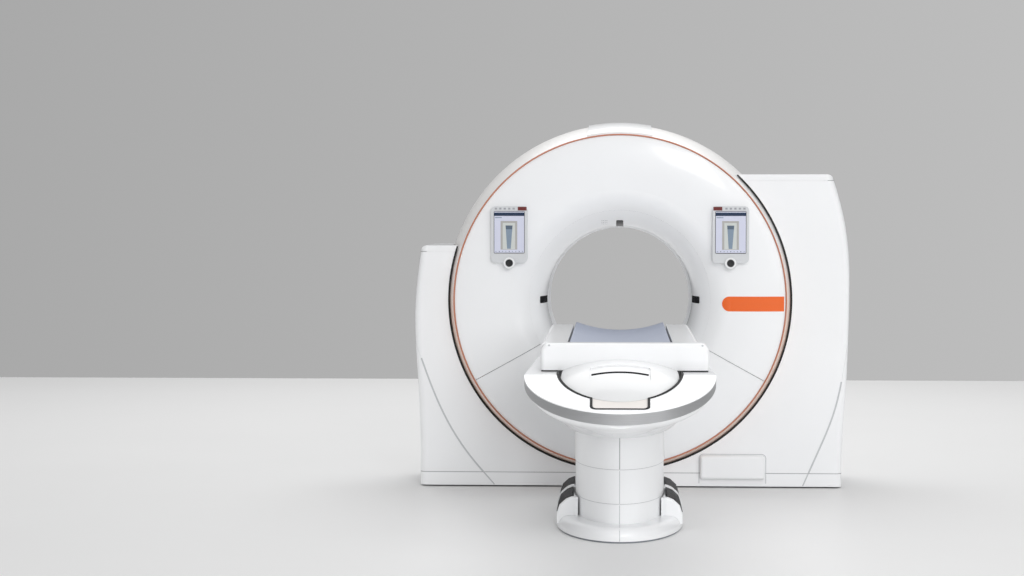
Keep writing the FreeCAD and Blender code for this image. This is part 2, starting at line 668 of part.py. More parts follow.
def make_access_cover():
    """A shallow box cover with rounded edges, low on the right of the cabinet front."""
    case = box("access_case", s.hatch_across, -s.front_face - s.hatch_proud, s.hatch_low,
               s.hatch_width, s.hatch_proud, s.hatch_height)
    doc.recompute()
    rounded = doc.addObject("Part::Fillet", "access_rounded")
    rounded.Base = case
    radius = mm(s.hatch_round)
    rounded.Edges = [(number + 1, radius, radius) for number, edge in enumerate(case.Shape.Edges)
                     if not (abs(edge.BoundBox.YMin + mm(s.front_face)) < 0.01 and edge.BoundBox.YLength < 0.01)]
    finish(rounded, "access_cover")


# ---- the drum: what tilts ---------------------------------------------------

def ellipse_arc(centre_r, centre_y, reach_r, reach_y):
    """A quarter ellipse in the profile plane, from the bore's side to the face's side."""
    points = []
    for step in range(9):
        angle = math.radians(90.0 * step / 8)
        points.append((centre_r - reach_r * math.cos(angle), centre_y + reach_y * math.sin(angle), 0))
    return spline(points)


def front_skin(outward, inward):
    """A ring turned between two offsets of the front cover's face, from the mouth out to the coloured ring."""
    def side(shift):
        mouth_y, face_y = -mm(s.mouth_depth), -mm(s.front_depth) + shift
        funnel = ellipse_arc(mm(s.funnel_radius), mouth_y, mm(s.funnel_radius) - mm(s.mouth_dia) / 2 - shift,
                             face_y - mouth_y)
        edge = (mm(rim_lip) - mm(s.seat_gap), -mm(half_depth) - 2 + shift)
        dome = Part.Arc(vec(mm(s.funnel_radius), face_y, 0), vec(mm(s.crown_radius), -mm(s.front_crown) + shift, 0),
                        vec(edge[0], edge[1], 0)).toShape()
        return funnel, dome
    outer_funnel, outer_dome = side(-outward)
    inner_funnel, inner_dome = side(inward)
    starts = (outer_funnel.Vertexes[0].Point, inner_funnel.Vertexes[0].Point)
    ends = (outer_dome.Vertexes[-1].Point, inner_dome.Vertexes[-1].Point)
    edges = [outer_funnel, outer_dome, inner_funnel, inner_dome,
             Part.LineSegment(*starts).toShape(), Part.LineSegment(*ends).toShape()]
    return face_of(edges).revolve(vec(0, 0, 0), vec(0, 1, 0), 360)


def ring_between(inner, outer, front, rear):
    """A plain ring round the bore's axis between two depths."""
    shell = Part.makeCylinder(mm(outer), mm(rear) - mm(front), vec(0, front, 0), vec(0, 1, 0))
    if mm(inner) <= 0:
        return shell
    return shell.cut(Part.makeCylinder(mm(inner), mm(rear) - mm(front) + 2, vec(0, mm(front) - 1, 0), vec(0, 1, 0)))


def below_seam(drop):
    """The wedge under the two seams that fall from the bore to the drum's edge."""
    reach = FAR / 2
    fall = math.radians(mm(s.seam_angle))
    x, z = reach * math.cos(fall), -reach * math.sin(fall)
    return prism([(0, -FAR / 4, -drop), (x, -FAR / 4, z - drop), (x, -FAR / 4, -reach),
                  (-x, -FAR / 4, -reach), (-x, -FAR / 4, z - drop)], (0, FAR / 2, 0))


rim_edge = leg(s.drum_radius, half_depth)
rim_lip = leg(s.drum_radius - s.cover_wall, half_depth)
iso_point = vec(0, 0, s.iso_height)


def rounded_plate(x_low, z_low, width, height, radius, front, depth):
    """A plate that faces the front, with rounded corners, in the drum's own frame."""
    plate = slab((x_low, front, z_low), (x_low + width, front + depth, z_low + height))
    upright = [edge for edge in plate.Edges if edge.BoundBox.YLength > depth - 0.01]
    return plate.makeFillet(radius, upright)


def make_front_covers():
    """The domed front, split at the falling seams, and the mouth ring with the laser windows in it."""
    skin = front_skin(0.0, mm(s.cover_wall))
    split, gap = mm(s.mouth_ring_radius), mm(s.seat_gap)
    far_in, far_out = -mm(s.drum_radius), mm(s.drum_radius)
    covers = skin.cut(ring_between(0, split + gap, far_in, far_out))
    half = mm(s.seam_gap) / 2
    feature("front_cover_upper", covers.cut(below_seam(-half)), iso_point)
    feature("front_cover_lower", covers.common(below_seam(half)), iso_point)

    short_bore = ring_between(s.mouth_dia / 2, s.mouth_dia / 2 + s.cover_wall, -s.mouth_depth - 1, -s.window_width / 2 - gap)
    mouth = skin.common(ring_between(0, split, far_in, far_out)).fuse(short_bore).removeSplitter()
    proud = front_skin(1.0, mm(s.cover_wall) + 4)
    windows = []
    side = mm(s.laser_side)
    for x, z in ((-1, 0), (1, 0), (0, 1)):
        cx, cz = x * mm(s.laser_radius), z * mm(s.laser_radius)
        post = rounded_plate(cx - side / 2, cz - side / 2, side, side, 6.0, far_in / 2, -far_in / 2 - 40)
        room = rounded_plate(cx - side / 2 - gap, cz - side / 2 - gap, side + 2 * gap, side + 2 * gap, 6.0,
                             far_in / 2, -far_in / 2 - 40)
        windows.append(proud.common(post))
        mouth = mouth.cut(room)
    feature("bore_mouth_ring", mouth, iso_point)
    feature("laser_windows", Part.makeCompound(windows), iso_point)


def make_name_strip():
    """The bare coloured strip on the right, with a round inner end, that lies on the domed front."""
    low, height = mm(s.strip_low), mm(s.strip_height)
    start = mm(s.strip_inner) + height / 2
    plate = slab((start, -mm(s.drum_radius), low), (mm(rim_edge) - 14, 0, low + height))
    end = Part.makeCylinder(height / 2, mm(s.drum_radius), vec(start, -mm(s.drum_radius), low + height / 2), vec(0, 1, 0))
    feature("name_strip", front_skin(mm(s.strip_proud), 0.0).common(plate.fuse(end)), iso_point)


knob_proud = 6      # boss in front of the panel's face
knob_inside = 2     # knob behind that face


def make_panels():
    """Two control panels with a round boss for the knob, a touch screen each, and the push knobs."""
    width, height, low = mm(s.panel_width), mm(s.panel_height), mm(s.panel_low)
    front, gap = -mm(s.panel_front), mm(s.seat_gap)
    dome = front_skin(gap, 60.0)
    screens = []
    for label, across in (("left", -mm(s.panel_across)), ("right", mm(s.panel_across))):
        case = rounded_plate(across - width / 2, low, width, height, 26.0, front, 60.0)
        boss = Part.makeCylinder(mm(s.knob_boss), 66.0, vec(across, front - knob_proud, low), vec(0, 1, 0))
        case = case.fuse(boss).cut(dome)
        case = case.common(slab((across - 200, front - 10, low - 100), (across + 200, front + 45, low + 500)))
        screen_x, screen_z = across - mm(s.screen_width) / 2, low + mm(s.screen_low)
        room = rounded_plate(screen_x - gap, screen_z - gap, mm(s.screen_width) + 2 * gap, mm(s.screen_height) + 2 * gap,
                             6.0, front - 1, 5.0)
        screens.append(rounded_plate(screen_x, screen_z, mm(s.screen_width), mm(s.screen_height), 6.0, front - 0.7, 4.7))
        knob_depth = knob_proud + knob_inside + mm(s.knob_travel) + 1.5
        knob_room = Part.makeCylinder(mm(s.knob_radius) + 0.5, knob_depth, vec(across, front - knob_proud - 1, low),
                                      vec(0, 1, 0))
        case = case.cut(room).cut(knob_room)
        solid = max(case.Solids, key=lambda piece: piece.Volume)
        feature(label + "_panel", solid, iso_point)
    feature("touch_screens", Part.makeCompound(screens), iso_point)
    for label, across in (("left_knob", -s.panel_across), ("right_knob", s.panel_across)):
        make_knob(label, across)


def make_knob(label, across):
    """A push knob with a dished face."""
    body = new_body(label)
    sketch = sketch_on(body, "XY_Plane", label + "_profile")
    face = -s.panel_front - knob_proud
    rear = -s.panel_front + knob_inside
    outline(sketch, [(0, face - s.knob_travel - 1), (s.knob_radius * 0.6, face - s.knob_travel - 2.5),
                     (s.knob_radius - 3, face - s.knob_travel - 3), (s.knob_radius, face - s.knob_travel),
                     (s.knob_radius, rear), (0, rear)])
    turn = body.newObject("PartDesign::Revolution", label + "_turn")
    turn.Profile = sketch
    turn.ReferenceAxis = (sketch, ["V_Axis"])
    place(body, across, 0, s.iso_height + s.panel_low)
    finish(body, label)


def make_rim():
    """The drum's rim cover, a ball zone outside and straight walls inside, with the raised cap on top."""
    radius, wall, half = mm(s.drum_radius), mm(s.cover_wall), mm(half_depth)
    edge = mm(rim_edge)
    inner_ball = radius - wall
    quarter = half / 2

    def inside(y):
        return math.sqrt(inner_ball ** 2 - y ** 2)
    arc = Part.Arc(vec(edge, -half, 0), vec(radius, 0, 0), vec(edge, half, 0)).toShape()
    corners = [(edge, half), (inside(half), half), (inside(quarter), quarter), (inside(0), 0),
               (inside(quarter), -quarter), (inside(half), -half), (edge, -half)]
    lines = [Part.LineSegment(vec(a[0], a[1], 0), vec(b[0], b[1], 0)).toShape() for a, b in zip(corners, corners[1:])]
    rim = face_of([arc] + lines).revolve(vec(0, 0, 0), vec(0, 1, 0), 360)
    pin_hole = Part.makeCylinder(mm(s.trunnion_radius) + 8, 2 * radius + 20, vec(-radius - 10, 0, 0), vec(1, 0, 0))
    feature("rim_cover", rim.cut(pin_hole), iso_point)

    gap = mm(s.seat_gap)
    ball = Part.makeSphere(radius + mm(s.cap_height), vec(0, 0, 0), vec(0, 1, 0))
    ball = ball.cut(Part.makeSphere(radius + gap, vec(0, 0, 0), vec(0, 1, 0)))
    across = mm(s.cap_width) / 2
    bevel = 3 * mm(s.cap_height)
    cap = prism([(-across, -half + 8, radius * 0.9), (-across - bevel, -half + 8, radius * 0.8),
                 (across + bevel, -half + 8, radius * 0.8), (across, -half + 8, radius * 0.9),
                 (across - bevel / 2, -half + 8, radius * 1.1), (-across + bevel / 2, -half + 8, radius * 1.1)],
                (0, 2 * half - 16, 0))
    feature("rim_cap", ball.common(cap), iso_point)


def make_accent_ring():
    """The thin coloured ring that closes the joint between rim and front cover."""
    ring = doc.addObject("Part::Torus", "accent_ring_torus")
    ring.Placement = FreeCAD.Placement(vec(0, 0, 0), FreeCAD.Rotation(vec(1, 0, 0), 90))
    bind(ring, Radius1=rim_edge - s.accent_wire / 4, Radius2=s.accent_wire / 2)
    place(ring, 0, -half_depth - s.accent_wire / 2 - s.seat_gap, s.iso_height)
    finish(ring, "accent_ring")


def make_rear_cover():
    """The rear of the drum: a shallow dome and a short funnel into the bore."""
    wall, gap = mm(s.cover_wall), mm(s.seat_gap)
    half, bore = mm(half_depth), mm(s.bore_dia) / 2

    def side(shift):
        face_y = mm(s.rear_depth) - shift
        funnel = ellipse_arc(mm(s.rear_funnel_radius), mm(s.tunnel_end) + gap,
                             mm(s.rear_funnel_radius) - bore - shift, face_y - mm(s.tunnel_end) - gap)
        dome = Part.Arc(vec(mm(s.rear_funnel_radius), face_y, 0), vec(mm(s.crown_radius), mm(s.rear_depth) + 2 - shift, 0),
                        vec(mm(rim_edge) - 1, half + gap + wall - shift, 0)).toShape()
        return funnel, dome
    outer_funnel, outer_dome = side(0.0)
    inner_funnel, inner_dome = side(wall)
    ends = [(outer_funnel.Vertexes[0].Point, inner_funnel.Vertexes[0].Point),
            (outer_dome.Vertexes[-1].Point, inner_dome.Vertexes[-1].Point)]
    edges = [outer_funnel, outer_dome, inner_funnel, inner_dome] + [Part.LineSegment(*pair).toShape() for pair in ends]
    feature("rear_cover", face_of(edges).revolve(vec(0, 0, 0), vec(0, 1, 0), 360), iso_point)


def make_bore():
    """The tunnel that narrows a little to the rear, and the thin window ring that the beam passes."""
    half_window = s.window_width / 2
    tunnel = turned("bore_tunnel", [
        (s.mouth_dia / 2, half_window + s.seat_gap), (s.mouth_dia / 2 + s.cover_wall, half_window + s.seat_gap),
        (s.bore_dia / 2 + s.cover_wall, s.tunnel_end), (s.bore_dia / 2, s.tunnel_end)])
    finish(tunnel, "bore_tunnel")
    window = turned("scan_window", [
        (s.mouth_dia / 2 + 1, -half_window), (s.mouth_dia / 2 + 4, -half_window),
        (s.mouth_dia / 2 + 4, half_window), (s.mouth_dia / 2 + 1, half_window)])
    finish(window, "scan_window")


bearing_front = s.rotor_front + s.rotor_plate
stator_front = bearing_front + s.bearing_width - s.stator_depth
quarter_depth = half_depth / 2
rim_inside = leg(s.drum_radius - s.cover_wall, quarter_depth)


def make_stator_frame():
    """The casting that carries the rotor bearing: a ring with two side blocks, the tilt pins and the arms
    that the rim cover is screwed to."""
    ring = turned("stator_ring", [
        (s.bearing_radius + s.bearing_wall, stator_front), (s.stator_radius, stator_front),
        (s.stator_radius, stator_front + s.stator_depth),
        (s.bearing_radius + s.bearing_wall, stator_front + s.stator_depth)])
    pieces = [ring]
    weld = 18                                           # how far blocks and arms reach into the ring
    block_start, block_end = s.stator_radius - weld, s.drum_radius - s.shoulder_room
    pin_end = s.stand_across + s.stand_thick / 2
    for side, sign in (("left", -1), ("right", 1)):
        low_x = block_start if sign > 0 else -block_end
        pieces.append(box("arm_" + side, low_x, -s.block_reach, s.iso_height - s.block_height / 2,
                          block_end - block_start, stator_front + s.stator_depth + s.block_reach, s.block_height))
        pin_start = block_end - weld if sign > 0 else -pin_end
        pieces.append(round_bar("pin_" + side, "X", pin_start, 0, s.iso_height, s.trunnion_radius,
                                pin_end - block_end + weld))
    arm_start, arm_end = s.stator_radius - weld, rim_inside - s.seat_gap
    arm_count, arm_angle = 8, 4.0
    for number in range(arm_count):
        middle = 360.0 * (number + 0.5) / arm_count
        pieces.append(turned("cover_arm_%d" % number, [
            (arm_start, stator_front), (arm_end, stator_front), (arm_end, quarter_depth), (arm_start, quarter_depth)],
            angle=arm_angle, start=middle - arm_angle / 2))
    finish(fuse("stator_frame", pieces), "stator_frame")


def make_bearing():
    """The two rings of the large ball bearing between the stator and the rotor."""
    front, rear = bearing_front + 1, bearing_front + s.bearing_width
    split, wall, gap = s.bearing_radius, s.bearing_wall, s.bearing_gap / 2
    race = 5
    outer = turned("bearing_outer_ring", [
        (split + gap, front), (split + wall, front), (split + wall, rear), (split + gap, rear),
        (split + gap, rear - 24), (split + gap + race, rear - 30), (split + gap + race, front + 30),
        (split + gap, front + 24)])
    finish(outer, "bearing_outer_ring")
    inner = turned("bearing_inner_ring", [
        (split - wall, bearing_front), (split - gap, bearing_front), (split - gap, front + 24),
        (split - gap - race, front + 30), (split - gap - race, rear - 30), (split - gap, rear - 24),
        (split - gap, rear), (split - wall, rear)])
    finish(inner, "bearing_inner_ring")


# ---- the rotor: what spins --------------------------------------------------

def make_rotor_plate():
    """The rotor's carrying plate with a hub rim and twelve round lightening holes."""
    body = turned("rotor_plate", [
        (s.rotor_bore, s.rotor_front), (s.rotor_radius, s.rotor_front),
        (s.rotor_radius, bearing_front), (s.rotor_bore, bearing_front)])
    holes = sketch_on(body, "XZ_Plane", "rotor_holes")
    circle(holes, (s.bearing_radius + s.rotor_radius) / 2, 0, 52)
    pocket = add_pocket(body, holes, "rotor_hole", 4 * s.rotor_front)
    doc.recompute()
    pattern = body.newObject("PartDesign::PolarPattern", "rotor_hole_ring")
    pattern.Originals = [pocket]
    pattern.Axis = (holes, ["N_Axis"])
    pattern.Angle = 360
    pattern.Occurrences = 12
    body.Tip = pattern
    finish(body, "rotor_plate")


def make_slip_ring():
    """The slip ring on the rotor's rear face, with three brush tracks turned into it."""
    front, rear = bearing_front, bearing_front + 34
    inner, outer = s.rotor_bore + 2, s.bearing_radius - s.bearing_wall - 4
    track = [(inner, front), (outer, front)]
    for number in range(3):
        start = front + 5 + number * 10
        track += [(outer, start), (outer - 4, start + 1), (outer - 4, start + 6), (outer, start + 7)]
    finish(turned("slip_ring", track + [(outer, rear), (inner, rear)]), "slip_ring")


def make_xray_tube():
    """The tube housing: a stepped drum with its axis along the bore, on the rotor plate's front face."""
    body = new_body("xray_tube")
    sketch = sketch_on(body, "XY_Plane", "xray_tube_profile")
    rear, front = s.rotor_front, s.rotor_front - s.tube_length
    outline(sketch, [(0, front), (s.tube_radius - 35, front), (s.tube_radius - 22, front + 22),
                     (s.tube_radius - 22, front + 60), (s.tube_radius, front + 64), (s.tube_radius, rear - 50),
                     (s.tube_radius - 15, rear - 46), (s.tube_radius - 15, rear), (0, rear)])
    turn = body.newObject("PartDesign::Revolution", "xray_tube_turn")
    turn.Profile = sketch
    turn.ReferenceAxis = (sketch, ["V_Axis"])
    place(body, 0, 0, s.iso_height + s.tube_centre)
    finish(body, "xray_tube")


def make_collimator():
    """The beam limiter between the tube and the bore, with the slot that the beam leaves by."""
    low, high = s.rotor_bore + 12, s.tube_centre - s.tube_radius - 2
    case = box("collimator_case", -120, -90, s.iso_height + low, 240, s.rotor_front + 90, high - low)
    slot = box("collimator_slot", -90, -12, s.iso_height + low - 1, 180, 24, high - low + 2)
    finish(cut("collimator", case, slot), "collimator")


def make_detector_arc():
    """The curved detector opposite the tube, on the rotor plate's front face."""
    rows = 90
    body = turned("detector_arc", [
        (s.detector_inner, -rows), (s.detector_inner + s.detector_thick, -rows),
        (s.detector_inner + s.detector_thick, s.rotor_front), (s.detector_inner, s.rotor_front)],
        angle=mm(s.detector_angle), start=90 - mm(s.detector_angle) / 2)
    finish(body, "detector_arc")


def make_rotor_box(label, turn, inner, height, width, front):
    """A rounded case on the rotor plate's front face, standing at an angle round the bore from the top."""
    case = slab((-width / 2, front, inner), (width / 2, mm(s.rotor_front), inner + height))
    along = [edge for edge in case.Edges if edge.BoundBox.YLength > 1]
    feature(label, case.makeFillet(18.0, along), iso_point, turn)


def make_counterweight():
    """Three stacked steel sector plates that balance the rotor."""
    outer, step = s.rotor_radius - 15, 34
    body = turned("counterweight", [
        (outer - 150, s.rotor_front), (outer - 150, s.rotor_front - 3 * step),
        (outer - 90, s.rotor_front - 3 * step), (outer - 90, s.rotor_front - 2 * step),
        (outer - 40, s.rotor_front - 2 * step), (outer - 40, s.rotor_front - step),
        (outer, s.rotor_front - step), (outer, s.rotor_front)], angle=34, start=-80)
    finish(body, "counterweight")


# ---- the table: column ------------------------------------------------------

def oval(half, nose, nose_long, rear, rear_long, z):
    """A plan outline with a long elliptic nose, straight sides and a short elliptic rear."""
    half, nose, nose_long = mm(half), mm(nose), mm(nose_long)
    rear, rear_long = mm(rear), mm(rear_long)
    front_y, rear_y = -nose + nose_long, -rear - rear_long
    if nose_long > half:
        front = Part.Ellipse(vec(0, front_y - nose_long, z), vec(half, front_y, z), vec(0, front_y, z))
    else:
        front = Part.Ellipse(vec(half, front_y, z), vec(0, front_y - nose_long, z), vec(0, front_y, z))
    back = Part.Ellipse(vec(half, rear_y, z), vec(0, rear_y + rear_long, z), vec(0, rear_y, z))
    edges = []
    for curve, forward in ((front, -1), (back, 1)):
        ends = [curve.parameter(vec(side * half, front_y if forward < 0 else rear_y, z)) for side in (1, -1)]
        for start, stop in (ends, ends[::-1]):
            stop = stop if stop > start else stop + 2 * math.pi
            arc = Part.Edge(curve, start, stop)
            middle = arc.valueAt((arc.FirstParameter + arc.LastParameter) / 2)
            if (middle.y - (front_y if forward < 0 else rear_y)) * forward > 0:
                edges.append(arc)
    for side in (1, -1):
        edges.append(Part.LineSegment(vec(side * half, front_y, z), vec(side * half, rear_y, z)).toShape())
    return face_of(edges)


def column_oval(inset, z):
    """The column's outline, moved inward by inset."""
    inset = mm(inset)
    return oval(mm(s.column_half) - inset, mm(s.column_nose) - inset, mm(s.column_nose_long) - inset,
                mm(s.column_rear) + inset, mm(s.column_rear_long) - inset, z)


def make_sleeve(label, inset, low, high):
    """One telescoping cover of the column, open at both ends."""
    outer = column_oval(inset, mm(low)).extrude(vec(0, 0, mm(high) - mm(low)))
    inner = column_oval(inset + mm(s.sleeve_wall), mm(low) - 1).extrude(vec(0, 0, mm(high) - mm(low) + 2))
    feature(label, outer.cut(inner))


sleeve_step = mm(s.sleeve_wall) + mm(s.sleeve_gap)


def make_sleeves():
    make_sleeve("upper_sleeve", 0.0, s.upper_seam, s.carrier_low + s.sleeve_lap)
    make_sleeve("middle_sleeve", sleeve_step, s.lower_seam, s.upper_seam + s.sleeve_lap)
    make_sleeve("lower_sleeve", 2 * sleeve_step, s.base_top, s.lower_seam + s.sleeve_lap)


def base_oval(inset, z):
    inset = mm(inset)
    return oval(mm(s.base_half) - inset, mm(s.base_nose) - inset, mm(s.base_nose_long) - inset,
                mm(s.base_rear) + inset, mm(s.column_rear_long) - inset, z)


def base_block(inset, low, high, round_by):
    """The base cover's space: an oval with a well rounded upper edge."""
    block = base_oval(inset, low).extrude(vec(0, 0, high - low))
    upper = [edge for edge in block.Edges if abs(edge.BoundBox.ZMin - high) < 0.1 and edge.BoundBox.ZLength < 0.1]
    return block.makeFillet(round_by, upper)


def make_base_cover():
    """The flared foot of the column, hollow below and open where the column stands in it."""
    wall, low, top, rounding = mm(s.cover_wall), mm(s.cover_low), mm(s.base_top), mm(s.base_round)
    outer = base_block(0.0, low, top, rounding)
    inner = base_block(wall, low - 40, top - wall, rounding - wall)
    opening = column_oval(2 * sleeve_step + mm(s.sleeve_wall), 0).extrude(vec(0, 0, 2 * top))
    feature("base_cover", outer.cut(inner).cut(opening))


def make_table_base():
    """The steel plate under the column and the tongue that docks it to the gantry."""
    wall = mm(s.cover_wall) + mm(s.seat_gap)
    plate = base_oval(wall, 0).extrude(vec(0, 0, mm(s.plate_thick)))
    front, rear = -mm(s.base_rear) - 200, mm(s.dock_reach)
    tongue = slab((-mm(dock_half), front, 0), (mm(dock_half), rear, mm(dock_thick)))
    feature("table_base_plate", plate.fuse(tongue).removeSplitter())


def make_mast_stage(label, inset, low, high):
    """A square tube of the lifting mast."""
    outer, length = s.mast_width - 2 * inset, high - low
    inner = outer - 2 * s.mast_wall
    tube = box(label + "_tube", -outer / 2, -s.mast_place - outer / 2, low, outer, outer, length)
    bore = box(label + "_bore", -inner / 2, -s.mast_place - inner / 2, low - 1, inner, inner, length + 2)
    return cut(label, tube, bore)


mast_step = s.mast_wall + s.mast_gap


def make_mast():
    """The fixed stage and the middle stage; the third is welded to the carrier frame."""
    finish(make_mast_stage("mast_stage_1", as_dim(0), s.plate_thick, s.mast_first_top), "mast_stage_1")
    finish(make_mast_stage("mast_stage_2", mast_step, s.mast_second_low, s.mast_second_top), "mast_stage_2")


# ---- the table: pedals ------------------------------------------------------

def pod_profile(inset, y):
    """The cross-section of the right pedal guard; inset moves its sloping outside inward."""
    side, top = mm(s.pod_half) - inset, mm(s.pod_top) - inset
    root, bend = mm(s.column_half) + mm(s.pod_gap), mm(s.pod_straight)
    return [(root, y, s.pod_low), (side, y, s.pod_low), (side, y, top - bend), (side - 0.16 * bend, y, top - 0.52 * bend),
            (side - 0.56 * bend, y, top - 0.15 * bend), (root + 0.16 * bend, y, top), (root, y, top)]


pedal_reach = mm(s.pod_half) - mm(s.column_half) + 20
swing_room = pedal_reach * math.sin(math.radians(mm(s.pedal_swing))) + 8


def pedal_places():
    """Front end of each pedal: the first lies near the nose, the second near the gantry."""
    first = -mm(s.pod_front) + mm(s.guard_wall)
    last = -mm(s.pod_rear) - mm(s.guard_wall) - mm(s.pedal_long)
    return (("front", first), ("rear", last))


def make_pedal_guards():
    """The white housings beside the column's foot, with a recess for each pedal."""
    front, rear = -mm(s.pod_front), -mm(s.pod_rear)
    guard = prism(pod_profile(0.0, front), (0, rear - front, 0))
    outside = [edge for edge in guard.Edges if edge.BoundBox.YLength < 0.1 and edge.BoundBox.XMin > mm(s.column_half)
               and edge.BoundBox.ZMax < mm(s.pod_top) + 1
               and edge.BoundBox.ZMin > mm(s.pod_top) - mm(s.pod_straight) - 1]
    guard = guard.makeFillet(10.0, outside)
    guard = guard.cut(base_block(-mm(s.seat_gap), -20.0, mm(s.base_top) + mm(s.seat_gap), mm(s.base_round)))
    length = mm(s.pedal_long) + 1.0
    for _, start in pedal_places():
        room = prism(pod_profile(-60.0, start - 0.5), (0, length, 0))
        core = prism(pod_profile(mm(s.pedal_thick) + swing_room, start - 1.0), (0, length + 1.0, 0))
        below = slab((0, start - 5, 0), (FAR, start + length + 5, mm(s.pod_top) - mm(s.pedal_drop) - 12))
        guard = guard.cut(room.cut(core).cut(below))
    mirrored = guard.mirror(vec(0, 0, 0), vec(1, 0, 0))
    feature("pedal_guards", Part.makeCompound([guard, mirrored]))


def make_pedals():
    """Four treadles that follow the guard's outside, each swinging about its upper edge."""
    for place_name, start in pedal_places():
        plate = prism(pod_profile(-2.0, start), (0, mm(s.pedal_long), 0))
        core = prism(pod_profile(mm(s.pedal_thick) - 2.0, start - 1), (0, mm(s.pedal_long) + 2, 0))
        low = slab((0, start - 5, 0), (FAR, start + 2 * mm(s.pedal_long), mm(s.pod_top) - mm(s.pedal_drop)))
        inside = slab((0, start - 5, 0), (mm(pedal_axis_x), start + 2 * mm(s.pedal_long), FAR))
        pedal = plate.cut(core).cut(low).cut(inside)
        feature("right_%s_pedal" % place_name, pedal)
        feature("left_%s_pedal" % place_name, pedal.mirror(vec(0, 0, 0), vec(1, 0, 0)))


pedal_axis_x = s.column_half + 10


# ---- the table: carrier and lying surface -----------------------------------

def spoon(inset, z):
    """The carrier's plan outline: sides that widen to the foot end and an elliptic nose."""
    rear_half, half = mm(s.carrier_rear_half) - inset, mm(s.carrier_half) - inset
    rear_y, wide_y = -mm(s.carrier_rear) - inset, -mm(s.carrier_wide)
    tip_y = -mm(s.carrier_nose) + inset
    major = vec(half, wide_y, z) if half > wide_y - tip_y else vec(0, tip_y, z)
    minor = vec(0, tip_y, z) if half > wide_y - tip_y else vec(half, wide_y, z)
    curve = Part.Ellipse(major, minor, vec(0, wide_y, z))
    start, stop = curve.parameter(vec(-half, wide_y, z)), curve.parameter(vec(half, wide_y, z))
    nose = Part.Edge(curve, start, stop if stop > start else stop + 2 * math.pi)
    if nose.valueAt((nose.FirstParameter + nose.LastParameter) / 2).y > wide_y:
        nose = Part.Edge(curve, stop, start if start > stop else start + 2 * math.pi)
    corners = [vec(half, wide_y, z), vec(rear_half, rear_y, z), vec(-rear_half, rear_y, z), vec(-half, wide_y, z)]
    return face_of([nose] + [Part.LineSegment(a, b).toShape() for a, b in zip(corners, corners[1:])])


def nose_share(y):
    """How far along the falling nose a place is: 0 at the widest place, 1 at the tip."""
    return max(0.0, (-mm(s.carrier_wide) - y) / (mm(s.carrier_nose) - mm(s.carrier_wide)))


def top_at(y):
    return mm(s.carrier_top) - mm(s.nose_drop) * nose_share(y)


def side_slab(above, below_side, below_tip):
    """What lies between two lines in side view, both at a distance under the carrier's top."""
    rear, wide, tip = FAR, -mm(s.carrier_wide), -mm(s.carrier_nose) - 50
    points = [(-FAR / 4, rear, top_at(0) - above), (-FAR / 4, wide, top_at(wide) - above),
              (-FAR / 4, tip, top_at(tip) - above), (-FAR / 4, tip, top_at(tip) - below_tip),
              (-FAR / 4, wide, top_at(wide) - below_side), (-FAR / 4, rear, top_at(0) - below_side)]
    return prism(points, (FAR / 2, 0, 0))


def hull_section(y, half, top, keel, keel_half):
    """One cross-section of the carrier's underside: steep under the metal band, then rounding in to the keel."""
    wires = []
    for side in (1, -1):
        curve = Part.BezierCurve()
        curve.setPoles([vec(side * half, y, top), vec(side * 0.95 * half, y, 0.45 * top + 0.55 * keel),
                        vec(side * (0.35 * half + 0.65 * keel_half), y, keel + 0.06 * (top - keel)),
                        vec(side * keel_half, y, keel)])
        wires.append(curve.toShape())
    upper = Part.LineSegment(vec(-half, y, top), vec(half, y, top)).toShape()
    lower = Part.LineSegment(vec(keel_half, y, keel), vec(-keel_half, y, keel)).toShape()
    return Part.Wire(Part.__sortEdges__([upper, wires[0], lower, wires[1]]))


